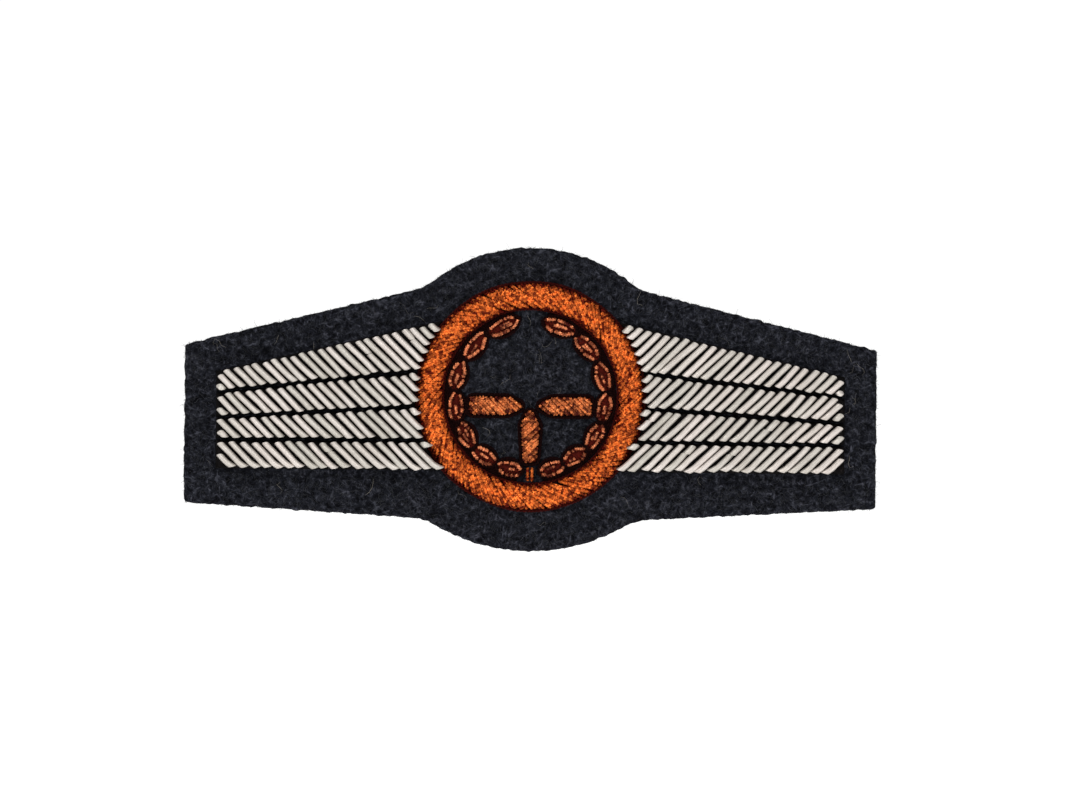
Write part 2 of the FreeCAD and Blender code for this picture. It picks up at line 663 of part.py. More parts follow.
def make_wreath():
    stroke = amount("Sizes.leaf_stroke_width")
    vein = amount("Sizes.leaf_vein_width")
    thread = amount("Sizes.thread_width")
    gap = amount("Sizes.thread_gap")
    width = amount("Sizes.leaf_width")
    count = int(amount("Sizes.leaf_count"))
    level = amount(WOOL_FRONT)
    for side, sign in SIDES.items():
        outlines = []
        for number in range(1, count + 1):
            centre, heading, outwards = leaf_frame(sign, number)
            length = leaf_length(number)
            strokes = lens(centre, heading, outwards, length, width, stroke,
                           level + stroke / 2, gap / 2)
            vein_half = heading * (length / 4)
            middle = centre + Vector(0, -(level + vein / 2), 0)
            strokes.append(capsule(middle - vein_half, middle + vein_half, vein / 2))
            add_group(f"{side}_leaf_{number}", strokes)
            outlines += lens(centre, heading, outwards, length + thread,
                             width + 2 * (thread + gap), thread, level + thread / 2,
                             stroke + gap)
        add_group(f"{side}_leaf_outlines", outlines)

    top, low = amount(TIE_TOP), amount(TIE_FOOT)
    apart = amount("Sizes.tie_spacing / 2")
    add_group("wreath_tie", [
        capsule(face_point(place, low, level + stroke / 2),
                face_point(place, top, level + stroke / 2), stroke / 2)
        for place in (-apart, apart)])


# ---------------------------------------------------------------- posts and clutches

def place_at_post(feature, sign):
    feature.setExpression("Placement.Base.x", f"{sign} * Sizes.post_spacing / 2")
    feature.setExpression("Placement.Base.z", "Sizes.post_height")


def make_post(side, sign):
    """A disc head with a ground, necked shank, turned about the post's own axis."""
    post = add_body(f"{side}_clutch_post")
    head_front = f"-{FELT_FRONT}"
    head_back = f"({head_front} + Sizes.post_head_thickness)"
    point_start = "(Sizes.post_reach - Sizes.post_point_length)"
    neck_start = f"({point_start} - Sizes.post_neck_length)"
    profile = add_sketch(post, f"{side}_post_sketch", "XY_Plane")
    draw_path(profile, [
        ("0", head_front),
        ("Sizes.post_head_radius", head_front),
        ("Sizes.post_head_radius", head_back),
        ("Sizes.post_radius", head_back),
        ("Sizes.post_radius", neck_start),
        ("Sizes.post_neck_radius", neck_start),
        ("Sizes.post_neck_radius", point_start),
        ("Sizes.post_tip_radius", "Sizes.post_reach"),
        ("0", "Sizes.post_reach"),
    ])
    revolve(post, f"{side}_post_turn", profile)
    place_at_post(post, sign)


def make_clutch_base(side, sign):
    base = add_body(f"{side}_clutch_base")
    seat = "(Sizes.clutch_rest_gap + Sizes.clutch_dish)"
    seat_edge = "(Sizes.cap_radius + Sizes.clutch_seat_margin)"
    rim_inside = "(Sizes.clutch_radius - Sizes.clutch_rim_width)"
    profile = add_sketch(base, f"{side}_base_sketch", "XY_Plane")
    draw_path(profile, [
        (CLUTCH_BORE, seat),
        (seat_edge, seat),
        (rim_inside, "Sizes.clutch_rest_gap"),
        ("Sizes.clutch_radius", "Sizes.clutch_rest_gap"),
        ("Sizes.clutch_radius", "(Sizes.clutch_rest_gap + Sizes.clutch_plate)"),
        (rim_inside, "(Sizes.clutch_rest_gap + Sizes.clutch_plate)"),
        (seat_edge, SEAT_BACK),
        (CLUTCH_BORE, SEAT_BACK),
    ])
    revolve(base, f"{side}_base_turn", profile)
    place_at_post(base, sign)


def make_clutch_cap(side, sign):
    cap = add_body(f"{side}_clutch_cap")
    slot_low = f"({SEAT_BACK} + Sizes.slot_floor)"
    slot_high = f"({slot_low} + Sizes.slot_height)"
    top = f"({slot_high} + Sizes.cap_roof)"
    inside = "(Sizes.cap_radius - Sizes.cap_wall)"
    ceiling = f"({top} - Sizes.cap_wall)"
    profile = add_sketch(cap, f"{side}_cap_sketch", "XY_Plane")
    draw_path(profile, [
        (inside, SEAT_BACK),
        ("Sizes.cap_radius", SEAT_BACK),
        ("Sizes.cap_radius", top),
        (CLUTCH_BORE, top),
        (CLUTCH_BORE, ceiling),
        (inside, ceiling),
    ])
    revolve(cap, f"{side}_cap_turn", profile)

    def outer_edge(edge):
        place = edge.Vertexes[0].Point
        return abs(place.y - amount(top)) < 1e-6 and edge.BoundBox.XMax > amount(inside)

    fillet_edges(cap, f"{side}_cap_edge", "Sizes.cap_edge_fillet", outer_edge)
    slot = add_sketch(cap, f"{side}_slot_sketch", "XY_Plane")
    half = "(Sizes.jaw_width / 2 + Sizes.slot_clearance)"
    draw_path(slot, [
        (f"-{half}", slot_low), (half, slot_low), (half, slot_high), (f"-{half}", slot_high),
    ])
    pocket(cap, f"{side}_slots", slot, "3 * Sizes.cap_radius", midplane=True)
    place_at_post(cap, sign)


def make_clutch_wing(side, sign, level, up):
    """A flat jaw that notches round the post and bends up into a rounded ear."""
    name = f"{side}_clutch_{level}_wing"
    wing = add_body(name)
    jaw_low = f"({SEAT_BACK} + Sizes.wing_level)"
    ear_high = f"({jaw_low} + Sizes.ear_rise)"
    ear_end = f"({EAR_START} + Sizes.ear_reach)"
    slope_length = "sqrt(Sizes.ear_reach ^ 2 + Sizes.ear_rise ^ 2)"
    over = f"(Sizes.wing_plate * Sizes.ear_rise / {slope_length})"
    back = f"(Sizes.wing_plate * Sizes.ear_reach / {slope_length})"
    inner_bend = f"({EAR_START} - Sizes.wing_plate * ({slope_length} - Sizes.ear_reach)" \
                 " / Sizes.ear_rise)"
    profile = add_sketch(wing, f"{name}_sketch", "YZ_Plane")
    draw_path(profile, [
        (jaw_low, f"{up} * Sizes.jaw_split"),
        (jaw_low, f"{up} * {EAR_START}"),
        (ear_high, f"{up} * {ear_end}"),
        (f"({ear_high} + {back})", f"{up} * ({ear_end} - {over})"),
        (f"({jaw_low} + Sizes.wing_plate)", f"{up} * {inner_bend}"),
        (f"({jaw_low} + Sizes.wing_plate)", f"{up} * Sizes.jaw_split"),
    ])
    pad(wing, f"{name}_plate", profile, "Sizes.ear_width", midplane=True)

    end_height = amount(ear_end) - amount(over) - 1e-6

    def ear_corner(edge):
        first, last = edge.Vertexes[0].Point, edge.Vertexes[-1].Point
        return abs(first.x - last.x) < 1e-6 and min(abs(first.z), abs(last.z)) > end_height

    fillet_edges(wing, f"{name}_ear", "Sizes.ear_fillet", ear_corner)
    for edge_name, edge_sign in SIDES.items():
        shoulder = add_sketch(wing, f"{name}_{edge_name}_shoulder_sketch", "XZ_Plane",
                              f"-{jaw_low} + Sizes.wing_plate")
        draw_path(shoulder, [
            (f"{edge_sign} * Sizes.jaw_width / 2", f"-{up} * Sizes.jaw_split"),
            (f"{edge_sign} * Sizes.ear_width", f"-{up} * Sizes.jaw_split"),
            (f"{edge_sign} * Sizes.ear_width", f"{up} * {EAR_START}"),
            (f"{edge_sign} * Sizes.jaw_width / 2", f"{up} * {EAR_START}"),
        ])
        pocket(wing, f"{name}_{edge_name}_shoulder", shoulder, "4 * Sizes.wing_plate")
    notch = add_sketch(wing, f"{name}_notch_sketch", "XZ_Plane",
                       f"-{jaw_low} + Sizes.wing_plate")
    draw_circle(notch, ("0", "0"), "Sizes.post_radius + Sizes.jaw_clearance")
    pocket(wing, f"{name}_notch", notch, "4 * Sizes.wing_plate")
    place_at_post(wing, sign)


# ---------------------------------------------------------------- the whole badge

winged_layer("wool_cloth", "0", BUCKRAM_FRONT, "Sizes.wool_thickness")
winged_layer("buckram_stiffener", "Sizes.backing_inset", FELT_FRONT, "Sizes.buckram_thickness")
make_back_felt()
make_ring()
for side, sign in SIDES.items():
    for bar in range(1, 5):
        make_feather_bar(side, sign, bar)
for blade, outline in blade_outlines().items():
    make_blade(blade, outline)
make_wreath()
for side, sign in SIDES.items():
    make_post(side, sign)
    make_clutch_base(side, sign)
    make_clutch_cap(side, sign)
    make_clutch_wing(side, sign, "upper", 1)
    make_clutch_wing(side, sign, "lower", -1)
doc.recompute()

for item in doc.Objects:
    if "Invalid" in item.State or "Error" in item.State:
        raise RuntimeError(f"{item.Label} did not build: {item.State}")

pieces = [item for item in doc.Objects
          if item.isDerivedFrom("PartDesign::Body")
          or item.TypeId in ("Part::Feature", "Part::Torus")]
os.makedirs("parts", exist_ok=True)
for piece in pieces:
    if piece.Shape.isNull() or not piece.Shape.isValid():
        raise RuntimeError(f"{piece.Label} has no valid shape")
for piece in pieces:
    piece.Shape.exportStep(f"parts/{piece.Label}.step")
print(len(pieces), "nodes,", sum(len(piece.Shape.Solids) for piece in pieces), "solids")
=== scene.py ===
"""Looks of the embroidered bullion wings badge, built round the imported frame.

Units are metres, and MM turns millimetres into them. The face looks towards -Y.
"""
import math
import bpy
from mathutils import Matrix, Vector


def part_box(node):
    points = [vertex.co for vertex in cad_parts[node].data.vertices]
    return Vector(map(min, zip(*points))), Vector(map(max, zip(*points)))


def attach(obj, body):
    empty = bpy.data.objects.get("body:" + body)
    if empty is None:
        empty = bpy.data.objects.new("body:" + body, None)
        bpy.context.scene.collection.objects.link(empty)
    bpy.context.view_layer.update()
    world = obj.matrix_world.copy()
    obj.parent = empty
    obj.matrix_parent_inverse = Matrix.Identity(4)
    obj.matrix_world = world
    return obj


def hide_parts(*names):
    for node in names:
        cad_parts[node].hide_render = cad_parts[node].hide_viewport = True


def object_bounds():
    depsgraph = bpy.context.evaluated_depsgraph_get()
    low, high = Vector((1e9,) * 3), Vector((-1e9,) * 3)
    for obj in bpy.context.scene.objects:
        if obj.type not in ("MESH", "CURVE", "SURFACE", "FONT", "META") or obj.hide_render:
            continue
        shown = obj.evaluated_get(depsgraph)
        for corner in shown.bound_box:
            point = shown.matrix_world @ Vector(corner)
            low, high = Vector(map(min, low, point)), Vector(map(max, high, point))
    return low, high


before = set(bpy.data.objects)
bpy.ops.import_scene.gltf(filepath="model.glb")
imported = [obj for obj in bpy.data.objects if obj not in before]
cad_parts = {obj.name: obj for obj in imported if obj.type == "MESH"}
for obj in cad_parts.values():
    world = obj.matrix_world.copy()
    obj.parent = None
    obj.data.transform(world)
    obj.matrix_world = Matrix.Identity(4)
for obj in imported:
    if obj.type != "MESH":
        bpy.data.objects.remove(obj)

import zlib

import bmesh
import bpy
import numpy as np
from mathutils import Vector
from mathutils.geometry import delaunay_2d_cdt

CAD_LOW, CAD_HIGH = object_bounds()

MM = 0.001
FRONT = np.array([0.0, -1.0, 0.0])
BODY = "badge"
SIDES = ("left", "right")
BLADES = ("left", "right", "lower")
BARS = range(1, 5)
LEAVES = range(1, 8)
COIL_FULLNESS = 1.03       # a silver coil's radius as a share of the CAD rod's
SHORTEST_COIL = 0.35 * MM  # shorter pieces are left out of a bar's corners
SPARE_COILS = 4            # tried past each end of a bar, to fill its corners
BAR_EDGE = 0.21 * MM       # from a bar padding's long edges to the cut ends of the coils, where the black padding shows as painted shade
BAR_END = 0.5 * MM         # from a bar padding's outer end to the first coil's end, where the black padding shows as painted shade too
SILVER_WIRE = 0.125 * MM   # pitch of the wire turns in a silver coil
LANES = (-0.5, 0.5)        # two check coils for each CAD stitch of the ring and the blades
THREAD_LAY = 0.7 * MM      # length of one twist of the outline threads
CLOTH_STEP = 0.3 * MM      # spacing of the points along a cut edge
BAR_STEP = 0.6 * MM        # the same along a feather padding's edge
BLADE_STEP = 0.12 * MM     # the same along a blade padding's edge
ROOM_LIGHT = 0.45          # how strongly the white surroundings light the badge
SEEN_WHITE = 1.05          # and how strong the camera sees them
BLACK, WHITE = (0.0, 0.0, 0.0), (1.0, 1.0, 1.0)


def into_scene(name, data):
    """A new object in the scene."""
    made = bpy.data.objects.new(name, data)
    bpy.context.scene.collection.objects.link(made)
    return made


def dice(name):
    """A random generator of its own for each piece, the same on every run."""
    return np.random.default_rng(zlib.crc32(name.encode()))


# ---- reading the frame

def node_mesh(node):
    """A CAD node's mesh with its faces joined at shared points."""
    mesh = bmesh.new()
    mesh.from_mesh(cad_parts[node].data)
    bmesh.ops.remove_doubles(mesh, verts=mesh.verts, dist=0.5e-6)
    mesh.verts.ensure_lookup_table()
    return mesh


def solids_of(node):
    """The points of each separate solid of a CAD node."""
    mesh = node_mesh(node)
    seen = set()
    solids = []
    for start in mesh.verts:
        if start.index in seen:
            continue
        seen.add(start.index)
        queue = [start]
        points = []
        while queue:
            vertex = queue.pop()
            points.append(vertex.co[:])
            for edge in vertex.link_edges:
                other = edge.other_vert(vertex)
                if other.index not in seen:
                    seen.add(other.index)
                    queue.append(other)
        solids.append(np.array(points))
    mesh.free()
    return solids


def principal(points):
    """Middle and upward long direction in x and z, depth, length and width of a thin solid."""
    low, high = points.min(0), points.max(0)
    centre = (low + high) / 2
    flat = points[:, [0, 2]] - points[:, [0, 2]].mean(0)
    _, vectors = np.linalg.eigh(flat.T @ flat)
    long = np.array([vectors[0, 1], 0.0, vectors[1, 1]])
    if long[2] < 0:
        long = -long
    cross = np.array([long[2], 0.0, -long[0]])
    reach = (points - centre) @ long
    width = (points - centre) @ cross
    centre = centre + long * (reach.max() + reach.min()) / 2
    centre = centre + cross * (width.max() + width.min()) / 2
    depth = (low[1] + high[1]) / 2
    return centre[[0, 2]], long[[0, 2]], depth, np.ptp(reach), np.ptp(width)


def middle_of(node):
    """The middle of a node's box in x and z."""
    low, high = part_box(node)
    return np.array([(low.x + high.x) / 2, (low.z + high.z) / 2])


def outline_of(node, spacing=CLOTH_STEP):
    """The outer edge of a CAD node's front face, anticlockwise in x and z, evenly spaced."""
    mesh = node_mesh(node)
    front = min(vertex.co.y for vertex in mesh.verts)
    faces = [face for face in mesh.faces
             if all(abs(vertex.co.y - front) < 1e-6 for vertex in face.verts)]
    inside = set(face.index for face in faces)
    following = {}
    for face in faces:
        for loop in face.loops:
            if not any(other.index in inside for other in loop.edge.link_faces
                       if other != face):
                following[loop.vert.index] = loop.link_loop_next.vert.index
    places = {vertex.index: (vertex.co.x, vertex.co.z) for vertex in mesh.verts}
    mesh.free()
    loops = []
    while following:
        index = next(iter(following))
        loop = []
        while index in following:
            loop.append(places[index])
            index = following.pop(index)
        loops.append(np.array(loop))
    outer = max(loops, key=lambda loop: abs(area_of(loop)))
    if area_of(outer) < 0:
        outer = outer[::-1]
    return resampled(outer, spacing)


def area_of(loop):
    """The area inside a loop, negative if it runs clockwise."""
    following = np.roll(loop, -1, axis=0)
    return 0.5 * float((loop[:, 0] * following[:, 1] - loop[:, 1] * following[:, 0]).sum())


def resampled(loop, spacing):
    """A closed loop's points again, evenly spaced by about a spacing."""
    closed = np.vstack([loop, loop[:1]])
    total = lengths_along(closed)[-1]
    count = max(12, int(total / spacing))
    return points_at(closed, np.linspace(0, total, count, endpoint=False))


def lengths_along(path):
    """The distance travelled along a path at each of its points."""
    steps = np.linalg.norm(np.diff(path, axis=0), axis=1)
    return np.concatenate([[0], np.cumsum(steps)])


def points_at(path, distances):
    """Points at given distances along a path."""
    travelled = lengths_along(path)
    return np.stack([np.interp(distances, travelled, axis) for axis in path.T], axis=1)


def directions(path, closed):
    """The unit direction of a path at each of its points."""
    if closed:
        along = np.roll(path, -1, axis=0) - np.roll(path, 1, axis=0)
    else:
        along = np.gradient(path, axis=0)
    return along / np.linalg.norm(along, axis=1)[:, None]


def loop_normals(loop):
    """Outward normals of an anticlockwise loop."""
    along = directions(loop, closed=True)
    return np.stack([along[:, 1], -along[:, 0]], axis=1)


def right_of(way):
    """The direction to the right of a direction in x and z."""
    return np.array([way[1], -way[0]])


def turned(heading, angle):
    """A direction in x and z turned by an angle."""
    return np.array([heading[0] * math.cos(angle) - heading[1] * math.sin(angle),
                     heading[0] * math.sin(angle) + heading[1] * math.cos(angle)])


def distance_inside(points, loop):
    """How far each point is inside a loop; negative outside."""
    start, end = loop, np.roll(loop, -1, axis=0)
    edge = end - start
    length = (edge ** 2).sum(1)
    best = np.full(len(points), 1e9)
    crossings = np.zeros(len(points), int)
    for a, b, d, l2 in zip(start, end, edge, length):
        share = np.clip(((points - a) @ d) / max(l2, 1e-18), 0, 1)
        best = np.minimum(best, ((points - a - share[:, None] * d) ** 2).sum(1))
        straddles = (a[1] > points[:, 1]) != (b[1] > points[:, 1])
        if d[1]:
            cross_x = a[0] + (points[:, 1] - a[1]) * d[0] / d[1]
            crossings += straddles & (points[:, 0] < cross_x)
    return np.sqrt(best) * np.where(crossings % 2 == 1, 1.0, -1.0)


def ripple(points, wavelength, name, waves=14):
    """Smooth noise about 0, seldom past -1 or 1: a sum of waves in random directions."""
    chance = dice(name)
    total = np.zeros(len(points))
    for _ in range(waves):
        heading = chance.uniform(0, math.tau)
        length = wavelength * chance.uniform(0.6, 1.7)
        direction = np.array([math.cos(heading), math.sin(heading)])
        total += np.sin((points @ direction) * math.tau / length
                        + chance.uniform(0, math.tau))
    return total / math.sqrt(waves)


# ---- mesh building

class Shell:
    """Points, faces and a tint for each point, gathered until they become one mesh."""

    def __init__(self):
        self.points, self.quads, self.tris, self.tints = [], [], [], []
        self.count = 0

    def add(self, points, quads=(), tris=(), tint=0.5):
        """Adds points, and faces counted from the first of them."""
        points = np.asarray(points, float).reshape(-1, 3)
        if len(quads):
            self.quads.append(np.asarray(quads) + self.count)
        if len(tris):
            self.tris.append(np.asarray(tris) + self.count)
        self.points.append(points)
        self.tints.append(np.broadcast_to(tint, len(points)).astype(float))
        self.count += len(points)

    def finish(self, name, material, smooth=True):
        """Makes the mesh and the object, and returns the object."""
        points = np.vstack(self.points)
        quads = np.vstack(self.quads) if self.quads else np.zeros((0, 4), int)
        tris = np.vstack(self.tris) if self.tris else np.zeros((0, 3), int)
        mesh = bpy.data.meshes.new(name)
        mesh.vertices.add(len(points))
        mesh.vertices.foreach_set("co", points.astype(np.float32).ravel())
        corners = np.concatenate([quads.ravel(), tris.ravel()]).astype(np.int32)
        mesh.loops.add(len(corners))
        mesh.loops.foreach_set("vertex_index", corners)
        starts = np.concatenate([np.arange(len(quads)) * 4,
                                 len(quads) * 4 + np.arange(len(tris)) * 3])
        mesh.polygons.add(len(starts))
        mesh.polygons.foreach_set("loop_start", starts.astype(np.int32))
        mesh.update(calc_edges=True)
        mesh.validate()
        mesh.polygons.foreach_set("use_smooth", np.full(len(mesh.polygons), smooth))
        tint = mesh.attributes.new("tint", "FLOAT", "POINT")
        tint.data.foreach_set("value", np.concatenate(self.tints).astype(np.float32))
        mesh.materials.append(material)
        return into_scene(name, mesh)


def tube(shell, path, radius, sides, closed=False, tint=0.5, lean=None):
    """Adds a tube along a path; radius is a number, one per point, or points by sides.

    lean slides each ring's points along the path, as a share of their sideways distance.
    """
    count = len(path)
    tangent = directions(path, closed)
    side = np.cross(tangent, FRONT)
    side /= np.linalg.norm(side, axis=1)[:, None] + 1e-12
    over = np.cross(side, tangent)
    angle = math.tau * np.arange(sides) / sides
    if np.ndim(radius) < 2:
        radius = np.reshape(radius, (-1, 1))
    radius = np.broadcast_to(radius, (count, sides))
    rings = path[:, None, :] + radius[:, :, None] * (
        np.cos(angle)[None, :, None] * side[:, None, :]
        + np.sin(angle)[None, :, None] * over[:, None, :])
    if lean is not None:
        aside = radius * np.cos(angle)[None, :] * lean[:, None]
        rings = rings + aside[:, :, None] * tangent[:, None, :]
    points = rings.reshape(-1, 3)
    laps = count if closed else count - 1
    ring = np.arange(laps)[:, None] * sides
    following = (np.arange(laps)[:, None] + 1) % count * sides
    around = np.arange(sides)[None, :]
    beside = (around + 1) % sides
    quads = np.stack([ring + around, ring + beside, following + beside, following + around],
                     axis=2).reshape(-1, 4)
    tris = []
    if not closed:
        first, last = len(points), len(points) + 1
        points = np.vstack([points, path[0], path[-1]])
        base = (count - 1) * sides
        turn = np.arange(sides)
        tris = np.vstack([
            np.stack([turn, np.full(sides, first), (turn + 1) % sides], axis=1),
            np.stack([base + turn, base + (turn + 1) % sides, np.full(sides, last)], axis=1)])
    shell.add(points, quads, tris, tint)


def evenly(path, step):
    """A path's points again, evenly spaced by about a step."""
    total = lengths_along(path)[-1]
    return points_at(path, np.linspace(0, total, max(4, int(round(total / step)) + 1)))


def purl(shell, path, radius, tint, edge):
    """A coil of fine wire along a path: its turns stand out as a helical ridge.

    edge is the direction of the bar's edge in x and z, which the coil's ends follow:
    the lower end fully and the upper end partly.
    """
    sides = 12
    low_reach, high_reach = 1.1 * MM, 0.9 * MM
    path = evenly(path, SILVER_WIRE / 4)
    travelled = lengths_along(path)
    way = path[-1, [0, 2]] - path[0, [0, 2]]
    way /= np.linalg.norm(way)
    ratio = (edge @ way) / (edge @ right_of(way))
    low = np.clip(1 - travelled / low_reach, 0, 1) ** 1.5
    high = np.clip(1 - (travelled[-1] - travelled) / high_reach, 0, 1) ** 1.5
    lean = ratio * (low + 0.6 * high)
    travelled = travelled[:, None]
    angle = math.tau * np.arange(sides)[None, :] / sides
    turn = travelled / SILVER_WIRE - angle / (math.tau)
    ridge = 0.5 + 0.5 * np.cos(math.tau * turn)
    swell = radius - 0.4 * SILVER_WIRE * (1 - ridge)
    tube(shell, path, swell * end_rounding(travelled, 0.4 * radius), sides, tint=tint,
         lean=lean)


def check_purl(shell, path, radius, chance, tint, end_shade=0.0):
    """A coil wound on a three-cornered needle: flat facets that twist and glitter.

    Both ends are darkened by painted shade, by the given amount, where the coil dips to the
    cloth. The tint also holds painted glitter: a random shade for each short run of points,
    lighter on the facets' corners.
    """
    sides = 9
    painted_glint_run = 5          # points along the coil that share one painted shade of glitter
    spread = 0.55      # how far a painted glitter shade strays from the coil's own
    end_shade_length = 0.95 * MM
    path = evenly(path, 0.055 * MM)
    travelled = lengths_along(path)[:, None]
    angle = math.tau * np.arange(sides)[None, :] / sides
    lap = chance.uniform(0.75, 1.15) * MM
    corner = np.abs(np.cos(1.5 * (angle + travelled * math.tau / lap + chance.uniform(0, 6))))
    pinch = 1 + 0.10 * np.sin(travelled * math.tau / (0.33 * MM) + chance.uniform(0, 6))
    swell = radius * (0.72 + 0.30 * corner) * pinch
    swell = swell * (1 + 0.07 * chance.standard_normal(swell.shape))
    # Painted glitter and shade in the tint: a random shade for each run of points, lighter on the
    # facets' corners, darker at both ends.
    painted_glints_and_shade = np.repeat(chance.uniform(-spread, spread, len(path) // painted_glint_run + 2), painted_glint_run)
    painted_glints_and_shade = painted_glints_and_shade[:len(path), None] + 0.5 * (corner - 0.6)
    painted_glints_and_shade = painted_glints_and_shade - end_shade * np.clip(1 - np.minimum(travelled, travelled[-1] - travelled)
                                 / end_shade_length, 0, 1)
    painted_glints_and_shade = np.clip(tint + painted_glints_and_shade, 0, 1)
    tube(shell, path, swell * end_rounding(travelled, 0.8 * radius), sides,
         tint=np.concatenate([painted_glints_and_shade.ravel(), [tint, tint]]))


def end_rounding(travelled, reach):
    """Share of the full radius along a path whose ends are round."""
    ending = np.clip(np.minimum(travelled, travelled[-1] - travelled) / reach, 0, 1)
    return np.sqrt(np.clip(1 - (1 - ending) ** 2, 0.02, 1))


def within(middle, heading, inside, reach=20 * MM, step=0.02 * MM):
    """The ends of the stretch of a line that passes an inside test, or None."""
    along = np.arange(-reach, reach, step)
    good = inside(middle[None, :] + along[:, None] * heading[None, :])
    if not good.any():
        return None
    changes = np.flatnonzero(np.diff(np.concatenate([[0], good.astype(int), [0]])))
    stretches = changes.reshape(-1, 2)
    first, last = max(stretches, key=lambda pair: pair[1] - pair[0])
    return middle + heading * along[first], middle + heading * along[last - 1]


def plied(shell, path, radius, closed=True, lay=THREAD_LAY, sides=6):
    """A two-ply thread: two strands twisted round each other along a path."""
    if closed:
        path = np.vstack([path, path[:1]])
    total = lengths_along(path)[-1]
    turns = max(1, round(total / lay))
    path = evenly(path, total / (turns * 9))
    if closed:
        path = path[:-1]
    tangent = directions(path, closed)
    side = np.cross(tangent, FRONT)
    over = np.cross(side, tangent)
    share = np.arange(len(path)) / (len(path) if closed else len(path) - 1)
    for strand in (0, 1):
        angle = math.tau * turns * share + math.pi * strand
        strand_path = path + 0.48 * radius * (
            np.cos(angle)[:, None] * side + np.sin(angle)[:, None] * over)
        tube(shell, strand_path, radius * 0.56, sides, closed, tint=0.5 + 0.15 * strand)


def plate(loop, interior, holes=()):
    """Triangles that fill a loop, using interior points and leaving holes open.

    Returns the points in x and z, the triangles, and where the loop and the holes are.
    """
    rings = [loop, *holes]
    given = np.vstack([*rings, interior]) if len(interior) else np.vstack(rings)
    edges, starts, total = [], [], 0
    for ring in rings:
        count = len(ring)
        starts.append(total)
        edges += [(total + i, total + (i + 1) % count) for i in range(count)]
        total += count
    points, _, faces, origins, _, _ = delaunay_2d_cdt(
        [Vector(point / MM) for point in given], edges, [], 0 if holes else 1, 1e-7)
    points = np.array([point[:] for point in points]) * MM
    faces = np.array([face for face in faces if len(face) == 3])
    where = np.zeros(len(given), int)
    for index, source in enumerate(origins):
        for original in source:
            where[original] = index
    middles = points[faces].mean(1)
    keep = distance_inside(middles, loop) > 0
    for hole in holes:
        keep &= distance_inside(middles, hole) < 0
    faces = faces[keep]
    a, b, c = (points[faces[:, i]] for i in range(3))
    ab, ac = b - a, c - a
    facing_away = ab[:, 0] * ac[:, 1] < ab[:, 1] * ac[:, 0]
    faces[facing_away] = faces[facing_away][:, ::-1]
    return points, faces, [where[start:start + len(ring)] for start, ring in zip(starts, rings)]


def grid_inside(loop, spacing, margin, name):
    """Jittered grid points that lie well inside a loop."""
    low, high = loop.min(0), loop.max(0)
    across = np.arange(low[0], high[0], spacing)
    up = np.arange(low[1], high[1], spacing)
    points = np.stack(np.meshgrid(across, up), axis=-1).reshape(-1, 2)
    points = points + dice(name).uniform(-0.3, 0.3, points.shape) * spacing
    return points[distance_inside(points, loop) > margin]


def in_space(points, depth):
    """Points in x and z with their y."""
    return np.stack([points[:, 0], np.broadcast_to(depth, len(points)), points[:, 1]], axis=1)


# ---- materials

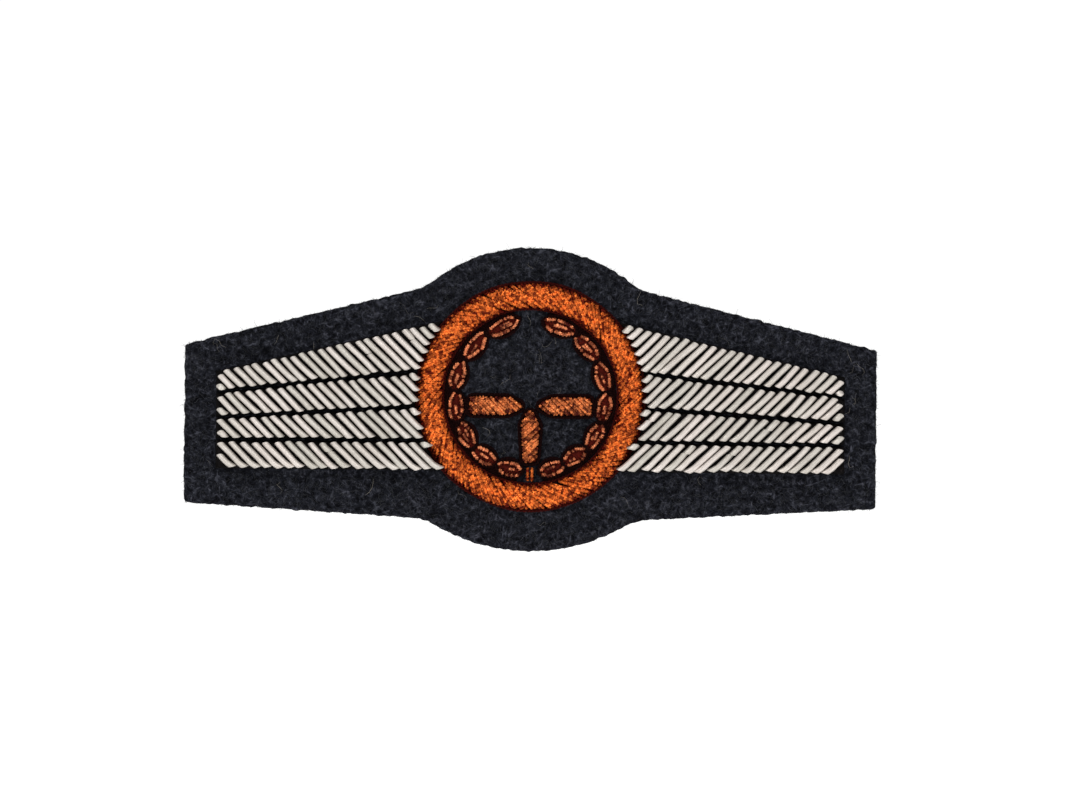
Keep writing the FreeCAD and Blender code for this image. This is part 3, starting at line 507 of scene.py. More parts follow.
class Nodes:
    """Short calls for building a material's nodes."""

    def __init__(self, name):
        self.material = bpy.data.materials.new(name)
        self.material.use_nodes = True
        self.tree = self.material.node_tree
        self.shader = self.tree.nodes["Principled BSDF"]
        self.place = self.add("ShaderNodeTexCoord").outputs["Object"]

    def add(self, kind, values=None, **settings):
        """A new node, with constants for its inputs and its settings."""
        node = self.tree.nodes.new(kind)
        for key, value in settings.items():
            setattr(node, key, value)
        for key, value in (values or {}).items():
            node.inputs[key].default_value = value
        return node

    def link(self, source, target):
        self.tree.links.new(source, target)

    def drive(self, socket, source):
        """Links a source to one of the shader's sockets."""
        self.link(source, self.shader.inputs[socket])

    def constants(self, **values):
        for key, value in values.items():
            self.shader.inputs[key.replace("_", " ")].default_value = value

    def stretched(self, scale, turn=0.0):
        """Object coordinates scaled by three numbers after a turn about Y."""
        mapping = self.add("ShaderNodeMapping", {"Rotation": (0, turn, 0)})
        self.link(self.place, mapping.inputs["Vector"])
        scaling = self.add("ShaderNodeMapping", {"Scale": scale})
        self.link(mapping.outputs["Vector"], scaling.inputs["Vector"])
        return scaling.outputs["Vector"]

    def noise(self, vector, scale, detail=4.0, roughness=0.6, distortion=0.0):
        node = self.add("ShaderNodeTexNoise", {"Scale": scale, "Detail": detail,
                                               "Roughness": roughness, "Distortion": distortion})
        self.link(vector, node.inputs["Vector"])
        return node.outputs["Fac"]

    def ramp(self, factor, stops):
        node = self.add("ShaderNodeValToRGB")
        band = node.color_ramp
        while len(band.elements) < len(stops):
            band.elements.new(0.5)
        for element, (position, colour) in zip(band.elements, stops):
            element.position = position
            element.color = (*colour, 1.0)
        self.link(factor, node.inputs["Fac"])
        return node.outputs["Color"]

    def math(self, operation, first, second):
        node = self.add("ShaderNodeMath", operation=operation)
        for socket, value in zip(node.inputs, (first, second)):
            if isinstance(value, (int, float)):
                socket.default_value = value
            else:
                self.link(value, socket)
        return node.outputs["Value"]

    def weighted(self, first, first_share, second, second_share):
        """Two values added by their shares."""
        return self.math("ADD", self.math("MULTIPLY", first, first_share),
                         self.math("MULTIPLY", second, second_share))

    def patches(self, scale, roughness, distortion, low, high, amount):
        """Soft patches of noise, from none at low to an amount at high."""
        noise = self.noise(self.place, scale, 4.0, roughness, distortion)
        return self.math("MULTIPLY", self.ramp(noise, [(low, BLACK), (high, WHITE)]), amount)

    def mix(self, factor, first, second, blend="MIX"):
        node = self.add("ShaderNodeMix", data_type="RGBA", blend_type=blend)
        for socket, value in zip((node.inputs[0], node.inputs[6], node.inputs[7]),
                                 (factor, first, second)):
            if isinstance(value, (int, float)):
                socket.default_value = value
            elif isinstance(value, tuple):
                socket.default_value = (*value, 1.0)
            else:
                self.link(value, socket)
        return node.outputs[2]

    def bump(self, height, strength, distance):
        node = self.add("ShaderNodeBump", {"Strength": strength, "Distance": distance})
        self.link(height, node.inputs["Height"])
        self.drive("Normal", node.outputs["Normal"])

    def tint(self):
        return self.add("ShaderNodeAttribute", attribute_name="tint").outputs["Fac"]


def felt_material(name, dark, middle, light, warmth, fibre_scale=2600.0):
    """Felted wool: melange fibres in three directions, with soft clumps and a nap."""
    make = Nodes(name)
    strands = None
    for index, turn in enumerate((0.35, 1.45, 2.55)):
        vector = make.stretched((0.3, 1.0, 1.0), turn)
        lines = make.noise(vector, fibre_scale * (1.0 + 0.23 * index), 3.0, 0.65, 1.2)
        strands = lines if strands is None else make.math("MAXIMUM", strands, lines)
    clumps = make.noise(make.place, 1500.0, 4.0, 0.6, 0.5)
    cloudy = make.noise(make.place, 260.0, 3.0, 0.5)
    blend = make.weighted(strands, 0.62, clumps, 0.38)
    colour = make.ramp(blend, [(0.47, dark), (0.56, middle), (0.68, light)])
    colour = make.mix(make.math("MULTIPLY", cloudy, 0.5), colour, warmth, "SOFT_LIGHT")
    make.drive("Base Color", colour)
    make.constants(Roughness=0.97, Specular_IOR_Level=0.06)
    make.bump(blend, 0.6, 0.12 * MM)
    return make.material


def fibre_material(name, dark, light):
    """A loose wool fibre, its shade set by the tint of each strand."""
    make = Nodes(name)
    speckle = make.noise(make.place, 3000.0, 2.0, 0.5)
    shade = make.weighted(make.tint(), 0.85, speckle, 0.15)
    make.drive("Base Color", make.ramp(shade, [(0.0, dark), (1.0, light)]))
    make.constants(Roughness=0.8, Specular_IOR_Level=0.3)
    return make.material


def canvas_material(name, thread, hollow, count=1.6):
    """Plain-woven stiffened canvas, count threads to the millimetre."""
    make = Nodes(name)
    scale = count / MM
    separate = make.add("ShaderNodeSeparateXYZ")
    make.link(make.place, separate.inputs["Vector"])
    waves = []
    for axis in ("X", "Z"):
        phase = make.math("MULTIPLY", separate.outputs[axis], scale * math.pi)
        waves.append(make.math("ABSOLUTE", make.math("SINE", phase, 0.0), 0.0))
    woven = make.math("MULTIPLY", waves[0], waves[1])
    fuzz = make.noise(make.place, 2500.0, 3.0, 0.6)
    blend = make.weighted(woven, 0.7, fuzz, 0.3)
    make.drive("Base Color", make.ramp(blend, [(0.2, hollow), (0.7, thread)]))
    make.constants(Roughness=0.85, Specular_IOR_Level=0.25)
    make.bump(blend, 0.7, 0.1 * MM)
    return make.material


def thread_material(name, dark, light):
    """Twisted thread: fine slanting fibres along each strand and a soft sheen."""
    make = Nodes(name)
    grain = make.noise(make.stretched((1.0, 1.0, 0.3), 0.8), 5200.0, 3.0, 0.6, 0.8)
    shade = make.weighted(grain, 0.7, make.tint(), 0.3)
    make.drive("Base Color", make.ramp(shade, [(0.3, dark), (0.75, light)]))
    make.constants(Roughness=0.85, Specular_IOR_Level=0.05)
    make.bump(grain, 0.4, 0.03 * MM)
    return make.material


def wire_material(name, low, high, tarnish, roughness, metallic):
    """Fine plated wire: a tint for each cut of purl, which on check purl also holds painted
    glitter and painted shade at the ends, tarnish in places, worn gloss.
    """
    make = Nodes(name)
    base = make.ramp(make.tint(), [(0.0, low), (1.0, high)])
    worn = make.patches(420.0, 0.65, 0.4, 0.35, 0.75, 0.45)
    make.drive("Base Color", make.mix(worn, base, tarnish, "MULTIPLY"))
    fine = make.noise(make.place, 6000.0, 2.0, 0.5)
    make.drive("Roughness",
               make.math("ADD", make.math("MULTIPLY", fine, 0.22), roughness - 0.11))
    make.constants(Metallic=metallic)
    make.bump(fine, 0.25, 0.02 * MM)
    return make.material


def plated_material(name, bright, worn, roughness):
    """Nickel plate over brass, rubbed through in noise patches, with fine scratches."""
    make = Nodes(name)
    scratches = make.noise(make.stretched((1.0, 0.06, 1.0), 0.4), 4200.0, 2.0, 0.5)
    rubbed = make.patches(500.0, 0.6, 0.6, 0.45, 0.8, 0.35)
    make.drive("Base Color", make.mix(rubbed, bright, worn))
    make.drive("Roughness",
               make.math("ADD", make.math("MULTIPLY", scratches, 0.3), roughness - 0.12))
    make.constants(Metallic=1.0)
    make.bump(scratches, 0.15, 0.02 * MM)
    return make.material


WOOL = felt_material("slate_wool_felt", (0.0009, 0.0010, 0.0017), (0.0078, 0.0087, 0.0122),
                     (0.047, 0.050, 0.063), (0.55, 0.48, 0.47))
WOOL_FIBRE = fibre_material("slate_wool_fibre", (0.0025, 0.003, 0.004), (0.05, 0.052, 0.06))
STRAY_FIBRE = fibre_material("stray_fibre", (0.05, 0.048, 0.045), (0.22, 0.20, 0.17))
BACK_FELT = felt_material("black_back_felt", (0.005, 0.005, 0.006), (0.011, 0.011, 0.012),
                          (0.03, 0.03, 0.032), (0.5, 0.5, 0.5), 2000.0)
BACK_FIBRE = fibre_material("black_felt_fibre", (0.006, 0.006, 0.006), (0.05, 0.05, 0.052))
BUCKRAM = canvas_material("buckram_canvas", (0.22, 0.185, 0.13), (0.07, 0.055, 0.035))
# Near-black felt for the bar paddings: partly real padding, partly painted shade, as its black
# stands in for the deep shade in the gaps between and round the silver bars.
BLACK_PAD_AND_GAP_SHADE = felt_material("black_padding_felt_and_gap_shade", (0.0015, 0.0012, 0.0012), (0.0035, 0.003, 0.003),
                        (0.012, 0.010, 0.010), (0.5, 0.45, 0.45), 3000.0)
RED_PADDING = felt_material("maroon_padding_felt", (0.03, 0.003, 0.001), (0.10, 0.010, 0.002),
                            (0.20, 0.03, 0.006), (0.6, 0.45, 0.4), 3000.0)
DARK_THREAD = thread_material("maroon_black_thread", (0.0012, 0.0001, 0.0001),
                              (0.010, 0.0012, 0.0010))
RING_THREAD = thread_material("deep_maroon_thread", (0.004, 0.0003, 0.0002),
                              (0.05, 0.0035, 0.002))
RED_THREAD = thread_material("deep_red_thread", (0.012, 0.001, 0.0006), (0.09, 0.008, 0.004))
SILVER = wire_material("silver_purl_wire", (0.46, 0.44, 0.395), (0.60, 0.55, 0.515),
                       (0.74, 0.70, 0.66), 0.48, 0.7)
BROWNED = (0.5, 0.22, 0.12)
COPPER = wire_material("copper_purl_wire", (0.09, 0.004, 0.0003), (0.93, 0.224, 0.038),
                       BROWNED, 0.36, 0.9)
PALE_COPPER = wire_material("pale_copper_purl_wire", (0.05, 0.003, 0.0006), (0.68, 0.20, 0.058),
                            BROWNED, 0.36, 0.85)
ROSE_COPPER = wire_material("rose_copper_purl_wire", (0.05, 0.003, 0.001), (0.66, 0.22, 0.095),
                            BROWNED, 0.36, 0.85)
NICKEL = plated_material("nickel_plate", (0.42, 0.415, 0.395), (0.42, 0.34, 0.21), 0.30)
STEEL = plated_material("nickel_post", (0.42, 0.42, 0.41), (0.36, 0.33, 0.27), 0.25)


def place(piece, slot, *nodes):
    """Rides on the badge and stands for its CAD nodes; slot is not used."""
    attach(piece, BODY)
    if nodes:
        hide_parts(*nodes)


# ---- cloth layers

def cloth_layer(name, node, material, rough_edge, relief, spacing, holes=()):
    """A cut layer: a fine front with relief, a soft raw edge and a flat back.

    rough_edge is about how far the cut wanders, and relief gives how far the front sinks.
    """
    low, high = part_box(node)
    front, thick = low.y, high.y - low.y
    outline = outline_of(node)
    normals = loop_normals(outline)
    ragged = ripple(outline, 1.3 * MM, name + "rag") * rough_edge
    ragged += dice(name + "edge").uniform(-0.5, 0.5, len(outline)) * rough_edge
    inner = outline - normals * 0.3 * MM
    points, faces, rings = plate(inner, grid_inside(inner, spacing, 0.5 * spacing, name), holes)
    shell = Shell()
    lift = relief(points)
    shell.add(in_space(points, front + lift), tris=faces)
    # round the edge: how far in, in millimetres, and the share of the thickness
    profile = ((0.12, 0.10), (0.02, 0.28), (0.0, 0.55), (0.03, 0.85), (0.12, 1.0))
    previous = rings[0]
    for inset, share in profile:
        edge = outline - normals * (inset * MM) + normals * (ragged * (1 - inset))[:, None]
        depth = front + thick * share + lift[rings[0]] * (1 - share)
        current = np.arange(len(outline)) + shell.count
        shell.add(in_space(edge, depth))
        join_rings(shell, previous, current)
        previous = current
    back_rings = add_back(shell, outline - normals * 0.25 * MM, high.y, holes)
    join_rings(shell, previous, back_rings[0])
    for front_ring, back_ring in zip(rings[1:], back_rings[1:]):
        join_rings(shell, back_ring, front_ring)
    return shell.finish(name, material)


def add_back(shell, loop, depth, holes=()):
    """Adds a flat back; returns where its loop and its holes are in the shell."""
    points, faces, rings = plate(loop, np.zeros((0, 2)), holes)
    start = shell.count
    shell.add(in_space(points, depth), tris=faces[:, ::-1])
    return [ring + start for ring in rings]


def join_rings(shell, first, second):
    """Quads between two rings of points that are already in the shell."""
    shell.quads.append(np.stack([first, second, np.roll(second, -1), np.roll(first, -1)],
                                axis=1))


def fibres(name, material, roots, headings, tints, length, thickness, rise, curl=1.0):
    """Short curved hairs of wool; headings are the way each starts off from its root."""
    chance = dice(name)
    shell = Shell()
    steps = 5
    for root, turn, tint in zip(roots, headings, tints):
        reach = length * chance.uniform(0.45, 1.3)
        bend = chance.normal(0, 1.1) * curl
        wave = chance.normal(0, 0.5) * curl
        share = np.linspace(0, 1, steps)
        angle = turn + bend * share + wave * np.sin(share * 5)
        step = reach / (steps - 1)
        across, up = (np.concatenate([[0], np.cumsum(part(angle[:-1]))]) * step
                      for part in (np.cos, np.sin))
        hop = rise * chance.uniform(0.2, 1.0) * np.sin(share * math.pi * chance.uniform(0.6, 1.1))
        path = np.stack([root[0] + across, root[1] - hop, root[2] + up], axis=1)
        slim = thickness * chance.uniform(0.6, 1.2)
        tube(shell, path, slim * np.array([0.8, 1.0, 1.0, 0.8, 0.35]), 3, tint=tint)
    return shell.finish(name, material)


def ring_sizes():
    """Inner and outer radius of the ring and its cords' width, from the two cords."""
    low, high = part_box("ring_outer_outline")
    outer = (high.x - low.x) / 2
    cord = high.y - low.y
    inner_low, inner_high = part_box("ring_inner_outline")
    inner = (inner_high.x - inner_low.x) / 2
    return inner, outer - cord, cord


RING_INNER, RING_OUTER, CORD = ring_sizes()
WOOL_LOW, WOOL_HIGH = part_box("wool_cloth")
WOOL_FRONT = WOOL_LOW.y
PADDED_LOOPS = [outline_of(f"{side}_feather_padding_{bar}", BAR_STEP)
                for side in SIDES for bar in BARS]


def strewn(low, high, outline, chance, count, margin):
    """Random spots inside an outline, at least a margin from its edge."""
    spots = np.stack([chance.uniform(low.x, high.x, count),
                      chance.uniform(low.z, high.z, count)], axis=1)
    return spots[distance_inside(spots, outline) > margin]


def wool_relief(points):
    """Waves, nap and the pull of the stitching, as a depth behind the flat face."""
    radius = np.linalg.norm(points, axis=1)
    nearest = np.abs(radius - (RING_INNER + RING_OUTER) / 2) - (RING_OUTER - RING_INNER) / 2
    for loop in PADDED_LOOPS:
        nearest = np.minimum(nearest, -distance_inside(points, loop))
    clear = np.clip(nearest / (0.8 * MM), 0, 1)
    pull = 0.10 * MM * np.exp(-np.clip(nearest, 0, 1) / (0.7 * MM))
    wave = 0.07 * MM * (1 + ripple(points, 14 * MM, "wool wave"))
    nap = 0.025 * MM * (1 + ripple(points, 1.1 * MM, "wool nap"))
    return pull + clear * (wave + nap)


def make_wool():
    """The felted cloth with its nap, frayed edge and a few stray hairs."""
    cloth = cloth_layer("wool_cloth_felted", "wool_cloth", WOOL, 0.06 * MM, wool_relief,
                        0.36 * MM)
    outline = outline_of("wool_cloth")
    chance = dice("wool fuzz")

    def uncovered(count, margin):
        spots = strewn(WOOL_LOW, WOOL_HIGH, outline, chance, count, margin)
        radius = np.linalg.norm(spots, axis=1)
        free = (radius > RING_OUTER + CORD) | (radius < RING_INNER - CORD)
        for loop in PADDED_LOOPS:
            free &= distance_inside(spots, loop) < -0.25 * MM
        return spots[free]

    pieces = [cloth]
    shares = np.array_split(uncovered(18000, 0.2 * MM), 3)
    for number, share in enumerate(shares, start=1):
        roots = in_space(share, WOOL_FRONT + wool_relief(share) + 0.02 * MM)
        tints = chance.beta(1.1, 3.6, len(share))
        pieces.append(fibres(f"wool_nap_{number}", WOOL_FIBRE, roots,
                             chance.uniform(0, math.tau, len(share)), tints,
                             0.9 * MM, 0.018 * MM, 0.10 * MM))

    normals = loop_normals(outline)
    picks = chance.integers(0, len(outline), 3000)
    depth = chance.uniform(WOOL_LOW.y + 0.1 * MM, WOOL_HIGH.y - 0.1 * MM, len(picks))
    start = outline[picks] - normals[picks] * 0.15 * MM
    roots = np.stack([start[:, 0], depth, start[:, 1]], axis=1)
    outward = np.arctan2(normals[picks, 1], normals[picks, 0])
    heading = outward + chance.normal(0, 0.95, len(picks))
    pieces.append(fibres("wool_edge_fray", WOOL_FIBRE, roots, heading,
                         chance.beta(1.2, 3.2, len(picks)), 0.3 * MM, 0.015 * MM, 0.08 * MM))

    spots = uncovered(150, 1.5 * MM)[:60]
    roots = in_space(spots, WOOL_FRONT - 0.03 * MM)
    pieces.append(fibres("wool_stray_hairs", STRAY_FIBRE, roots,
                         chance.uniform(0, math.tau, len(spots)),
                         chance.uniform(0.1, 1, len(spots)),
                         2.0 * MM, 0.016 * MM, 0.25 * MM, 1.6))
    for piece in pieces:
        place(piece, "slate_wool")
    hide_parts("wool_cloth")


def flat_relief(name):
    """A relief function for a layer that lies almost flat."""
    def relief(points):
        return 0.01 * MM * (1 + ripple(points, 1.4 * MM, name))
    return relief


def make_backing():
    """The stiff canvas inside and the felt on the back."""
    outline = outline_of("buckram_stiffener")
    low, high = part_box("buckram_stiffener")
    buckram = cloth_layer("buckram_canvas_layer", "buckram_stiffener", BUCKRAM, 0.05 * MM,
                          flat_relief("buckram"), 1.2 * MM)
    place(buckram, "buckram_canvas", "buckram_stiffener")

    low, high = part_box("back_felt")
    turn = math.tau * np.arange(28) / 28
    hole = 0.66 * MM * np.stack([np.cos(turn), np.sin(turn)], axis=1)
    felt = cloth_layer("back_felt_layer", "back_felt", BACK_FELT, 0.05 * MM,
                       flat_relief("back felt"), 1.0 * MM,
                       [middle_of(f"{side}_clutch_post") + hole for side in SIDES])
    place(felt, "black_back_felt", "back_felt")
    chance = dice("felt fuzz")
    outline = outline_of("back_felt")
    spots = strewn(low, high, outline, chance, 7000, 0.2 * MM)
    for side in SIDES:  # the clutches keep the nap pressed flat
        base_low, base_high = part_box(f"{side}_clutch_base")
        clear = (base_high.x - base_low.x) / 2 + 1.6 * MM
        apart = np.linalg.norm(spots - middle_of(f"{side}_clutch_base"), axis=1)
        spots = spots[apart > clear]
    nap = fibres("back_felt_nap", BACK_FIBRE, in_space(spots, 0.0),
                 chance.uniform(0, math.tau, len(spots)),
                 chance.beta(1.2, 3.0, len(spots)), 1.2 * MM, 0.02 * MM, -0.10 * MM)
    place(nap, "black_back_felt")


# ---- padding and purl

def domed_pad(name, node, material, slope):
    """A padding whose top falls off in a round shoulder towards its edge."""
    low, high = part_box(node)
    outline = outline_of(node)
    inner = outline - loop_normals(outline) * 0.02 * MM
    points, faces, rings = plate(inner, grid_inside(inner, 0.28 * MM, 0.1 * MM, name))
    inside = np.clip(distance_inside(points, outline) / slope, 0, 1)
    height = (high.y - low.y) * np.sqrt(np.clip(1 - (1 - inside) ** 2, 0, 1))
    height *= 1 - 0.06 * (1 + ripple(points, 2 * MM, name)) / 2
    shell = Shell()
    shell.add(in_space(points, high.y - height), tris=faces)
    join_rings(shell, rings[0], add_back(shell, inner, high.y)[0])
    piece = shell.finish(name, material)
    place(piece, "black_padding", node)


def laid_path(start, end, depth, sink, bend=0.0, samples=24):
    """From start to end in x and z, its ends bent down by sink, bowed sideways by bend."""
    share = np.linspace(0, 1, samples)
    line = start[None, :] + share[:, None] * (end - start)[None, :]
    along = (end - start) / np.linalg.norm(end - start)
    aside = np.array([-along[1], along[0]])
    line = line + aside * (bend * np.sin(share * math.pi))[:, None]
    reach = np.linalg.norm(end - start)
    ending = np.minimum(share, 1 - share) * reach  # distance to the nearer end
    drop = sink * np.clip(1 - ending / min(0.95 * MM, reach / 2), 0, 1) ** 2
    return in_space(line, depth + drop)


def make_feather_bar(side, bar):
    """Silver coils side by side over the padding, cut by hand, so that no two are alike.

    Short pieces of coil fill the corners at both ends of the bar.
    """
    node = f"{side}_feather_purl_{bar}"
    padding = f"{side}_feather_padding_{bar}"
    # The near-black padding that shows between and round the coils is painted shade as well as
    # padding.
    domed_pad(f"{side}_bar_padding_{bar}", padding, BLACK_PAD_AND_GAP_SHADE, 0.75 * MM)
    chance = dice(node)
    coils = [principal(points) for points in solids_of(node)]
    heading = np.mean([way for _, way, _, _, _ in coils], axis=0)
    heading /= np.linalg.norm(heading)
    across = right_of(heading)
    coils.sort(key=lambda coil: coil[0] @ across)
    middles, _, depths, _, widths = map(list, zip(*coils))
    radius = np.mean(widths) / 2 * COIL_FULLNESS
    crown = np.mean(depths)
    pitch = (middles[-1] - middles[0]) @ across / (len(middles) - 1)
    for _ in range(SPARE_COILS):
        middles.insert(0, middles[0] - across * pitch)
        middles.append(middles[-1] + across * pitch)
    upper, lower, outer_end = bar_edges(outline_of(padding, BAR_STEP))

    def covered(points):
        across_bar, up = points[:, 0], points[:, 1]
        clear = np.linalg.norm(points, axis=1) > RING_OUTER + CORD - 0.08 * MM
        clear &= np.abs(across_bar) < outer_end - BAR_END
        clear &= up < np.polyval(upper, across_bar) - BAR_EDGE
        return clear & (up > np.polyval(lower, across_bar) + BAR_EDGE)

    slope = (upper[0] + lower[0]) / 2
    edge = np.array([1.0, slope]) / math.hypot(1.0, slope)
    shell = Shell()
    for middle in middles:
        way = turned(heading, chance.normal(0, math.radians(1.2)))
        stretch = within(middle + chance.normal(0, 0.03, 2) * MM, way, covered)
        if stretch is None or np.linalg.norm(stretch[1] - stretch[0]) < SHORTEST_COIL:
            continue
        start, end = stretch
        start = start - way * chance.normal(0, 0.07) * MM
        end = end + way * chance.normal(0, 0.07) * MM
        full = radius * chance.uniform(0.96, 1.04)
        depth = crown - 0.02 * MM + chance.normal(0, 0.02) * MM
        tint = chance.uniform(0.1, 1.0)
        cuts = [(start, end)]
        length = np.linalg.norm(end - start)
        if chance.random() < 0.07 and length > 2.6 * MM:
            joint = start + (end - start) * chance.uniform(0.45, 0.75)
            aside = across * chance.uniform(0.04, 0.12) * MM
            cuts = [(start, joint - way * 0.03 * MM),
                    (joint + way * 0.03 * MM + aside, end + aside)]
        hook = chance.uniform(0.1, 0.32) * MM * (1.5 if bar == 4 else 0.5)
        for first, last in cuts:
            path = laid_path(first, last, depth, 0.24 * MM, chance.normal(0, 0.035) * MM)
            if first is start:
                low = np.clip(1 - lengths_along(path) / (0.9 * MM), 0, 1) ** 2
                path[:, 0] += low * hook * (-1 if side == "right" else 1)
            purl(shell, path, full, tint + chance.normal(0, 0.04), edge)
    place(shell.finish(f"{side}_bar_purl_{bar}", SILVER), "silver_purl", node)


def bar_edges(loop):
    """Straight lines along a bar's upper and lower edges, and how far out the bar ends."""
    end_margin, ring_margin = 0.5 * MM, 0.4 * MM  # both ends stay out of the lines' fit
    outer_end = np.abs(loop[:, 0]).max()
    straight = loop[(np.abs(loop[:, 0]) < outer_end - end_margin)
                    & (np.linalg.norm(loop, axis=1) > RING_OUTER + CORD + ring_margin)]
    middle = np.polyfit(straight[:, 0], straight[:, 1], 1)
    above = straight[:, 1] > np.polyval(middle, straight[:, 0])
    upper = np.polyfit(straight[above, 0], straight[above, 1], 1)
    lower = np.polyfit(straight[~above, 0], straight[~above, 1], 1)
    return upper, lower, outer_end


def lathe(shell, profile, steps):
    """A closed profile of (radius, y) turned about the Y axis."""
    turn = math.tau * np.arange(steps) / steps
    rings = np.stack([
        profile[None, :, 0] * np.cos(turn)[:, None],
        np.broadcast_to(profile[None, :, 1], (steps, len(profile))),
        profile[None, :, 0] * np.sin(turn)[:, None]], axis=2)
    size = len(profile)
    a = np.arange(steps)[:, None] * size
    b = (np.arange(steps)[:, None] + 1) % steps * size
    i = np.arange(size)[None, :]
    j = (i + 1) % size
    quads = np.stack([a + i, b + i, b + j, a + j], axis=2).reshape(-1, 4)
    shell.add(rings.reshape(-1, 3), quads)


def make_ring():
    """The ring's rounded padding, its slanted check coils and its two cords."""
    low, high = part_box("ring_padding")
    outer = (high.x - low.x) / 2
    band = RING_OUTER - RING_INNER
    middle = (RING_INNER + RING_OUTER) / 2
    half = outer - middle
    turn = np.linspace(0, math.pi, 19)
    dome = np.stack([middle + half * np.cos(turn),
                     high.y - (high.y - low.y) * np.sin(turn)], axis=1)
    shell = Shell()
    lathe(shell, dome, 160)
    padding = shell.finish("ring_padding_dome", RED_PADDING)
    place(padding, "black_padding", "ring_padding")

    chance = dice("ring purl")
    shell = Shell()
    coil_radius, lane_step = 0.205 * MM, 0.31 * MM
    foot = WOOL_FRONT - 0.10 * MM
    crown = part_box("ring_purl")[0].y + 0.14 * MM
    for points in solids_of("ring_purl"):
        centre, along, _, _, _ = principal(points)
        for lane in LANES:
            spot = centre + right_of(along) * lane * lane_step + chance.normal(0, 0.02, 2) * MM
            way = turned(along, chance.normal(0, math.radians(2.5)))
            low_edge = RING_INNER - chance.uniform(-0.04, 0.15) * MM
            high_edge = RING_OUTER + chance.uniform(-0.04, 0.15) * MM

            def on_band(points):
                radius = np.linalg.norm(points, axis=1)
                return (radius > low_edge) & (radius < high_edge)

            start, end = within(spot, way, on_band, 3 * MM)
            line = start[None, :] + (end - start)[None, :] * np.linspace(0, 1, 22)[:, None]
            offset = (np.linalg.norm(line, axis=1) - middle) / (band / 2)
            arch = np.sqrt(np.clip(1 - 0.95 * np.clip(np.abs(offset), 0, 1) ** 2.6, 0.0, 1))
            depth = foot + (crown - foot) * arch + chance.normal(0, 0.02) * MM
            check_purl(shell, in_space(line, depth), coil_radius * chance.uniform(0.92, 1.1),
                       chance, chance.uniform(0.26, 0.59), end_shade=0.75)
    place(shell.finish("ring_check_purl", COPPER, smooth=False), "copper_purl", "ring_purl")

    for node, name in (("ring_outer_outline", "ring_outer_thread"),
                       ("ring_inner_outline", "ring_inner_thread")):
        low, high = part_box(node)
        radius = (high.x - low.x) / 2 - CORD / 2
        turn = math.tau * np.arange(720) / 720
        wobble = 1 + 0.003 * ripple(np.stack([turn, turn * 0], axis=1), 0.7, name)
        circle = np.stack([radius * wobble * np.cos(turn), radius * wobble * np.sin(turn)],
                          axis=1)
        shell = Shell()
        plied(shell, in_space(circle, WOOL_FRONT - 0.14 * MM), 0.22 * MM, lay=0.8 * MM, sides=7)
        place(shell.finish(name, RING_THREAD), "dark_thread", node)


# ---- propeller and wreath

def make_blade(name):
    """A propeller blade: its padding, its coils and the thread round it."""
    padding = f"{name}_blade_padding"
    domed_pad(f"{name}_blade_pad_dome", padding, RED_PADDING, 0.45 * MM)
    node = f"{name}_blade_purl"
    chance = dice(node)
    outline = outline_of(padding, BLADE_STEP)
    coil_radius, lane_step = 0.19 * MM, 0.33 * MM

    def on_pad(spots):
        return distance_inside(spots, outline) > -0.03 * MM

    shell = Shell()
    for points in solids_of(node):
        centre, along, depth, _, _ = principal(points)
        for lane in LANES:
            way = turned(along, chance.normal(0, math.radians(3)))
            spot = centre + right_of(along) * lane * lane_step + chance.normal(0, 0.02, 2) * MM
            stretch = within(spot, way, on_pad, 4 * MM)
            if stretch is None:
                continue
            path = laid_path(*stretch, depth + 0.02 * MM, 0.22 * MM)
            check_purl(shell, path, coil_radius * chance.uniform(0.92, 1.08), chance,
                       chance.uniform(0.25, 1), end_shade=0.4)
    place(shell.finish(f"{name}_blade_check_purl", PALE_COPPER, smooth=False),
          "copper_purl", node)

    smooth = outline + loop_normals(outline) * 0.22 * MM
    for _ in range(3):
        smooth = (np.roll(smooth, 1, axis=0) + smooth + np.roll(smooth, -1, axis=0)) / 3
    shell = Shell()
    plied(shell, in_space(smooth, WOOL_FRONT - 0.16 * MM), 0.25 * MM)
    place(shell.finish(f"{name}_blade_thread", DARK_THREAD), "dark_thread",
          f"{name}_blade_outline")


def leaf_half_width(share, width):
    """Half width of a leaf from its stalk, -1, to its point, 1."""
    return width * np.clip(1 - np.abs(share) ** 2.3, 0, 1) ** 0.8


